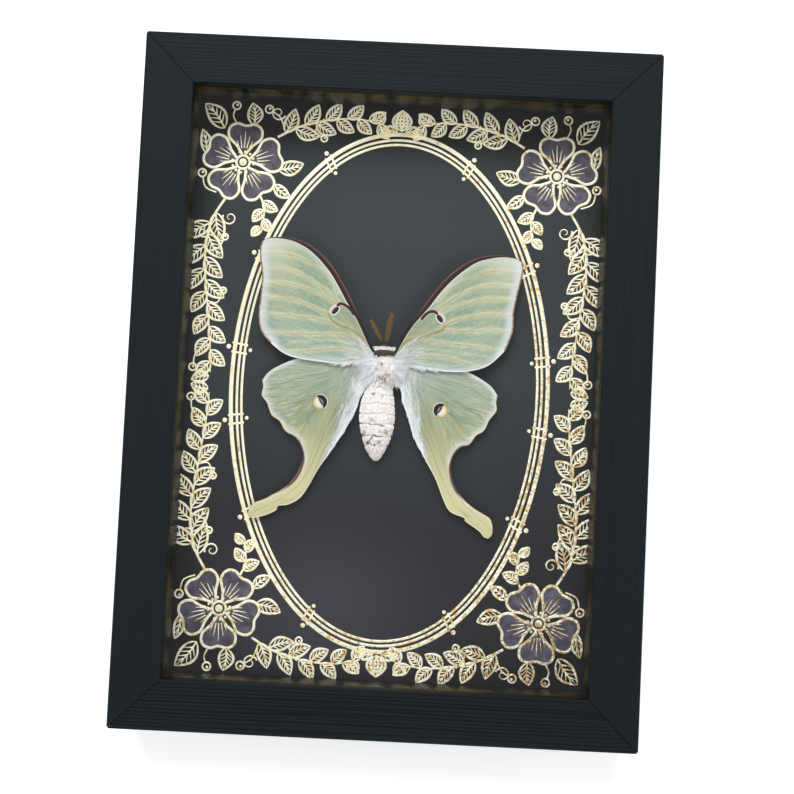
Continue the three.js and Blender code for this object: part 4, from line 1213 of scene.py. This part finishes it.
def hindwing(side):
    shape = HINDWINGS[side]
    inner, outer, front = Edge(shape["inner"]), Edge(shape["outer"]), Edge(shape["front"])
    points, across, along = patch(inner, outer, front, Edge(shape["end"][::-1]), *HINDWING_GRID)
    x, y = points[..., 0], points[..., 1]
    vein = nearest_of(shape["veins"], points)
    from_root = np.hypot(x - shape["root"][0], y - shape["root"][1])
    fan = 1 - np.arctan2(shape["root"][1] - y, np.abs(x - shape["root"][0])) / (np.pi / 2)
    eased = STREAK_TURN * np.tanh(along / STREAK_TURN)
    fan = np.stack([np.interp(eased[:, k], along[:, k], fan[:, k]) for k in range(fan.shape[1])], axis=1)
    pleat = PLEAT * (1 - along) * np.sin(across * 5 * np.pi) - 0.5 * np.maximum(0, along - 0.4)
    top = settle(12.9, 10.3, np.hypot(x + 2, y - 5)) + pleat + 0.18 + 0.1 * np.exp(-((vein / 0.3) ** 2))
    marks = {
        "vein": vein, "outer": outer.nearest(points)[0], "inner": inner.nearest(points)[0],
        "front": front.nearest(points)[0], "root": from_root, "tail": np.clip((-y - 14) / 17, 0, 1),
        "bay": np.clip((-y - 13) / 4, 0, 1) * np.clip((y + 33) / 3, 0, 1),
        "weave": np.dstack([fan, from_root / 50, 0 * along]),
    }
    return wing_sheet(f"hindwing_{side}", points, top, hindwing_finish(side, shape), marks)


wing_tops = {}
for side in ("left", "right"):
    wing_tops["forewing", side] = forewing(side)
    wing_tops["hindwing", side] = hindwing(side)


# The hair on the wings
# Long silky blue-white hair grows from the thorax and lies back over the wing roots and down the inner side
# of the hindwings; short scales fringe the edges, and a few tufts stand out beside the abdomen.
def on_sheet(sheet, along, across):
    """Points of a sheet at shares of its rows and columns."""
    rows, columns = sheet.shape[:2]
    i = np.clip(along, 0, 1) * (rows - 1)
    j = np.clip(across, 0, 1) * (columns - 1)
    i0, j0 = np.minimum(i.astype(int), rows - 2), np.minimum(j.astype(int), columns - 2)
    u, v = (i - i0)[:, None], (j - j0)[:, None]
    near = sheet[i0, j0] * (1 - v) + sheet[i0, j0 + 1] * v
    far = sheet[i0 + 1, j0] * (1 - v) + sheet[i0 + 1, j0 + 1] * v
    return near * (1 - u) + far * u


def silk(name, roots, middles, tips, widths, tone):
    """Silky hairs without brown or tan marks."""
    none = np.zeros(len(roots))
    hair(name, roots, middles, tips, widths, fur_silk, "white_fur", strand=tone, brown=none, tan=none)


def laid_hair(name, sheet, along, across, reach, sway, widths, lift, tone):
    """Hair that lies on a wing from one place to another, raised by lift at its middle."""
    ends = [on_sheet(sheet, along + reach * share, across + sway * share) for share in (0, 0.5, 1)]
    for end, share in zip(ends, (0.1, 1.0, 0.7)):
        end[:, 2] += 0.03 + lift * share
    silk(name, *ends, widths, tone)


def stray(name, roots, flow, lengths, drop, tone):
    """Free hairs from roots along a flow, whose tips sink by drop."""
    reach = unit(flow) * lengths[:, None]
    fall = np.zeros_like(roots)
    fall[:, 2] = drop
    widths = random.uniform(0.05, 0.1, len(roots))
    silk(name, roots, roots + reach * 0.5 - fall * 0.2, roots + reach - fall, widths, tone)


def edge_hair(name, sheet, edge_share, along, length, outward, sink):
    """Hair rooted beside a long edge of a wing that leans out past it."""
    count = len(along)
    none = np.zeros(count)
    roots = on_sheet(sheet, along, abs(edge_share - random.uniform(0, 0.035, count)))
    rim = on_sheet(sheet, along, none + edge_share)
    ahead = unit(on_sheet(sheet, along + 0.04, none + edge_share) - rim)
    past = unit(rim - on_sheet(sheet, along, none + abs(edge_share - 0.1)))
    flow = ahead + past * random.uniform(*outward, count)[:, None]
    clump = random.uniform(0.2, 1.8, 90)[(along * 89).astype(int)]
    lengths = length * clump * random.uniform(0.4, 1.0, count) * (1 - along)
    stray(name, roots + (0, 0, 0.05), flow, lengths, sink * lengths, random.beta(1.6, 1, count))


FRINGE_HAIRS = {"hindwing": 2800, "forewing": 2000}
SHOULDER_LOW, SHOULDER_HIGH = 3.6, 9.3

for side, out in (("left", -1), ("right", 1)):
    hind, fore = wing_tops["hindwing", side], wing_tops["forewing", side]
    count, locks = 4600, 380
    lock = random.integers(0, locks, count)
    lock_along = random.beta(0.9, 2.0, locks) * 0.5
    lock_across = random.beta(0.8, 2.6, locks) * (0.42 - 0.5 * lock_along)
    lock_tone = random.random(locks)
    across = lock_across[lock] + random.normal(0, 0.01, count)
    along = lock_along[lock] + random.normal(0, 0.02, count)
    reach = random.uniform(0.03, 0.08, count)
    tone = lock_tone[lock] * 0.9 + random.uniform(-0.15, 0.3, count) + 0.45 - across * 4.0
    laid_hair(f"hindwing_hair_{side}", hind, along, across, reach, random.normal(0.003, 0.008, count),
              random.uniform(0.05, 0.09, count), random.uniform(0.03, 0.22, count), np.clip(tone, 0, 1))

    count = 900
    laid_hair(f"forewing_hair_{side}", fore, random.beta(0.8, 3.5, count) * 0.34,
              random.uniform(0.4, 0.99, count), random.uniform(0.03, 0.09, count),
              random.normal(0.01, 0.02, count), random.uniform(0.05, 0.09, count),
              random.uniform(0.03, 0.2, count), random.random(count))

    along = 0.06 + random.beta(1.0, 1.7, FRINGE_HAIRS["hindwing"]) * 0.42
    edge_hair(f"hindwing_fringe_{side}", hind, 0, along, length=2.0, outward=(0.0, 1.1), sink=0.1)
    along = random.beta(0.9, 2.6, FRINGE_HAIRS["forewing"]) * 0.45
    edge_hair(f"forewing_fringe_{side}", fore, 1, along, length=2.4, outward=(0.0, 0.9), sink=0.25)

    count, locks = 4200, 260
    lock = random.integers(0, locks, count)
    lock_y, lock_tone = random.uniform(SHOULDER_LOW, SHOULDER_HIGH, locks), random.beta(1.8, 1, locks)
    lock_fan = (lock_y - SHOULDER_LOW) / (SHOULDER_HIGH - SHOULDER_LOW) * 0.95 - 0.85
    lock_fan += random.normal(0, 0.25, locks)
    lock_length = random.uniform(1.4, 4.8, locks)
    y = lock_y[lock] + random.normal(0, 0.14, count)
    angle = random.uniform(0.25, 1.0, locks)[lock] + random.normal(0, 0.04, count)
    angle = angle if out > 0 else math.pi - angle
    fan = lock_fan[lock] + random.normal(0, 0.1, count)
    flow = np.column_stack([out * np.cos(fan), np.sin(fan), random.uniform(-0.2, 0.12, count)])
    lengths = lock_length[lock] * random.uniform(0.7, 1.0, count)
    tone = np.clip(lock_tone[lock] + random.uniform(-0.1, 0.2, count), 0, 1)
    stray(f"shoulder_hair_{side}", body_point(y, angle), flow, lengths, 0.5, tone)


# The antennae
# Two short feathered antennae on the front of the head: a tapering shaft with a comb of fine barbs on
# each side, dry and olive brown.
FEELERS = {
    "left": ((-2.6, 14.0, 12.3), (-6.5, 20.7, 15.0), 1.6),
    "right": ((-1.7, 13.7, 12.3), (-0.2, 22.8, 15.8), 2.3),
}
FEELER_ARCH = 0.5
SHAFT_RADIUS = 0.16
SHAFT_STEPS, SHAFT_SIDES = 20, 8
BARB_PAIRS = 120
BARB_WIDTH = 0.06

feather = Finish("feather_tan", Specular_IOR_Level=0.2)
at = feather.place()
dry = feather.noise(at, 0.5, 3.0)
feather.lay(feather.read("strand"), srgb(122, 98, 50), srgb(98, 76, 36))
feather.lay(dry.rise(0.4, 0.8) * 0.6, srgb(72, 54, 26))
feather.drive(Base_Color=feather.colour, Roughness=0.6 + dry * 0.2)


def antenna(side, base, tip, width):
    """A shaft and its barbs, as thin tapering blades."""
    base, tip = np.array(base), np.array(tip)
    run = tip - base
    sideways = np.array([-run[1], run[0], 0]) / np.hypot(run[0], run[1])
    upright = np.array([0, 0, 1.0])
    share = np.repeat(np.linspace(0.06, 0.98, BARB_PAIRS), 2)
    hand = np.tile([1.0, -1.0], BARB_PAIRS)
    roots = base + run * share[:, None] + upright * (FEELER_ARCH * np.sin(np.pi * share) + 0.12)[:, None]
    spread = width / 2 * (0.3 + 0.7 * np.sin(np.pi * np.clip(0.1 + share * 0.84, 0, 1)) ** 0.8)
    forward = random.uniform(0.8, 1.15, len(share))[:, None]
    reach = sideways * hand[:, None] + run / np.linalg.norm(run) * forward
    tips = roots + reach * (spread * random.uniform(0.75, 1.1, len(share)))[:, None]
    middles = (roots + tips) / 2 + upright * 0.05
    widths = np.full(len(share), BARB_WIDTH)
    tone = random.random(len(share))
    hair(f"antenna_{side}_barbs", roots, middles, tips, widths, feather, "tan_feather", strand=tone)
    around = np.linspace(0, 2 * np.pi, SHAFT_SIDES, endpoint=False)
    along = np.linspace(0, 1, SHAFT_STEPS)
    middle = base + run * along[:, None] + upright * (FEELER_ARCH * np.sin(np.pi * along) + 0.1)[:, None]
    loop = sideways * np.cos(around)[:, None] + upright * np.sin(around)[:, None]
    rings = middle[:, None] + loop[None] * (SHAFT_RADIUS * (1 - 0.7 * along))[:, None, None]
    shaft = tube(rings).piece(f"antenna_{side}_shaft", feather, "tan_feather", f"antenna_{side}")
    mark(shaft, strand=np.zeros(SHAFT_STEPS * SHAFT_SIDES))


for side, (base, tip, width) in FEELERS.items():
    antenna(side, base, tip, width)


# The glass
# One pane of clear picture glass under the front lip. Lamps shine through it on to what it covers.
pane_glass = Finish("clear_pane", Roughness=0.0, IOR=1.5, Transmission_Weight=1.0)
pane_glass.drive(Base_Color=(1.0, 1.0, 1.0))
pane_glass.on("glass_pane")
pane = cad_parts["glass_pane"]
pane.visible_shadow = False
pane.visible_diffuse = False
pane.visible_glossy = False
no_lamps = bpy.data.collections.new("mirrors_no_lamps")
no_lamps.objects.link(pane)
no_lamps.collection_objects[0].light_linking.link_state = "EXCLUDE"


# The studio
# A pale floor under the back of the frame, a large soft light beyond its top edge and gentler ones at
# the sides. The camera looks down from where the frame was seen.
CAMERA_PLACE = (4.71, -21.68, 399.06)
CAMERA_TURN = (2.927, 0.196, 2.718)
CAMERA_LENS = 58.19
FLOOR_HALF = 1.5
FLOOR_BELOW = 0.0001

floor_mesh = bpy.data.meshes.new("floor")
corners = [(x * FLOOR_HALF, y * FLOOR_HALF, -FLOOR_BELOW) for x, y in ((-1, -1), (1, -1), (1, 1), (-1, 1))]
floor_mesh.from_pydata(corners, [], [(0, 1, 2, 3)])
floor = bpy.data.objects.new("floor", floor_mesh)
bpy.context.scene.collection.objects.link(floor)
pale = Finish("pale_floor", Roughness=0.9, Specular_IOR_Level=0.1)
grain = pale.noise(pale.place(), 40.0, 2.0)
pale.drive(Base_Color=pale.blend(grain, (0.96, 0.96, 0.965), (0.98, 0.98, 0.985)))
pale.drive(Emission_Color=(1.0, 1.0, 1.0), Emission_Strength=0.35)
floor_mesh.materials.append(pale.material)


def soft_light(name, place, size, watts):
    """A round lamp that looks at the origin; the pane doesn't mirror it."""
    lamp = bpy.data.lights.new(name, "AREA")
    lamp.shape = "DISK"
    lamp.size = size
    lamp.energy = watts
    light = bpy.data.objects.new(name, lamp)
    light.location = Vector(place)
    light.rotation_mode = "QUATERNION"
    light.rotation_quaternion = (-Vector(place)).to_track_quat("-Z", "Y")
    light.light_linking.receiver_collection = no_lamps
    bpy.context.scene.collection.objects.link(light)


soft_light("sky_light", (-0.15, 0.95, 1.15), size=0.9, watts=17.4)
soft_light("left_light", (-1.15, -0.1, 0.8), size=0.7, watts=5.0)
soft_light("right_light", (1.15, 0.0, 0.8), size=0.7, watts=4.8)
soft_light("foot_light", (0.1, -1.1, 0.9), size=0.7, watts=5.2)

world = bpy.data.worlds.new("studio")
world.use_nodes = True
world.node_tree.nodes["Background"].inputs["Color"].default_value = (1.0, 1.0, 1.0, 1.0)
world.node_tree.nodes["Background"].inputs["Strength"].default_value = 0.2
bpy.context.scene.world = world
bpy.context.scene.view_settings.view_transform = "Standard"

camera = bpy.data.objects.new("camera", bpy.data.cameras.new("camera"))
camera.data.lens = CAMERA_LENS
camera.data.sensor_width = 36.0
camera.data.clip_start = 0.01
camera.location = Vector(CAMERA_PLACE) * MM
camera.rotation_euler = Euler([math.radians(turn) for turn in CAMERA_TURN], "XYZ")
bpy.context.scene.collection.objects.link(camera)
bpy.context.scene.camera = camera
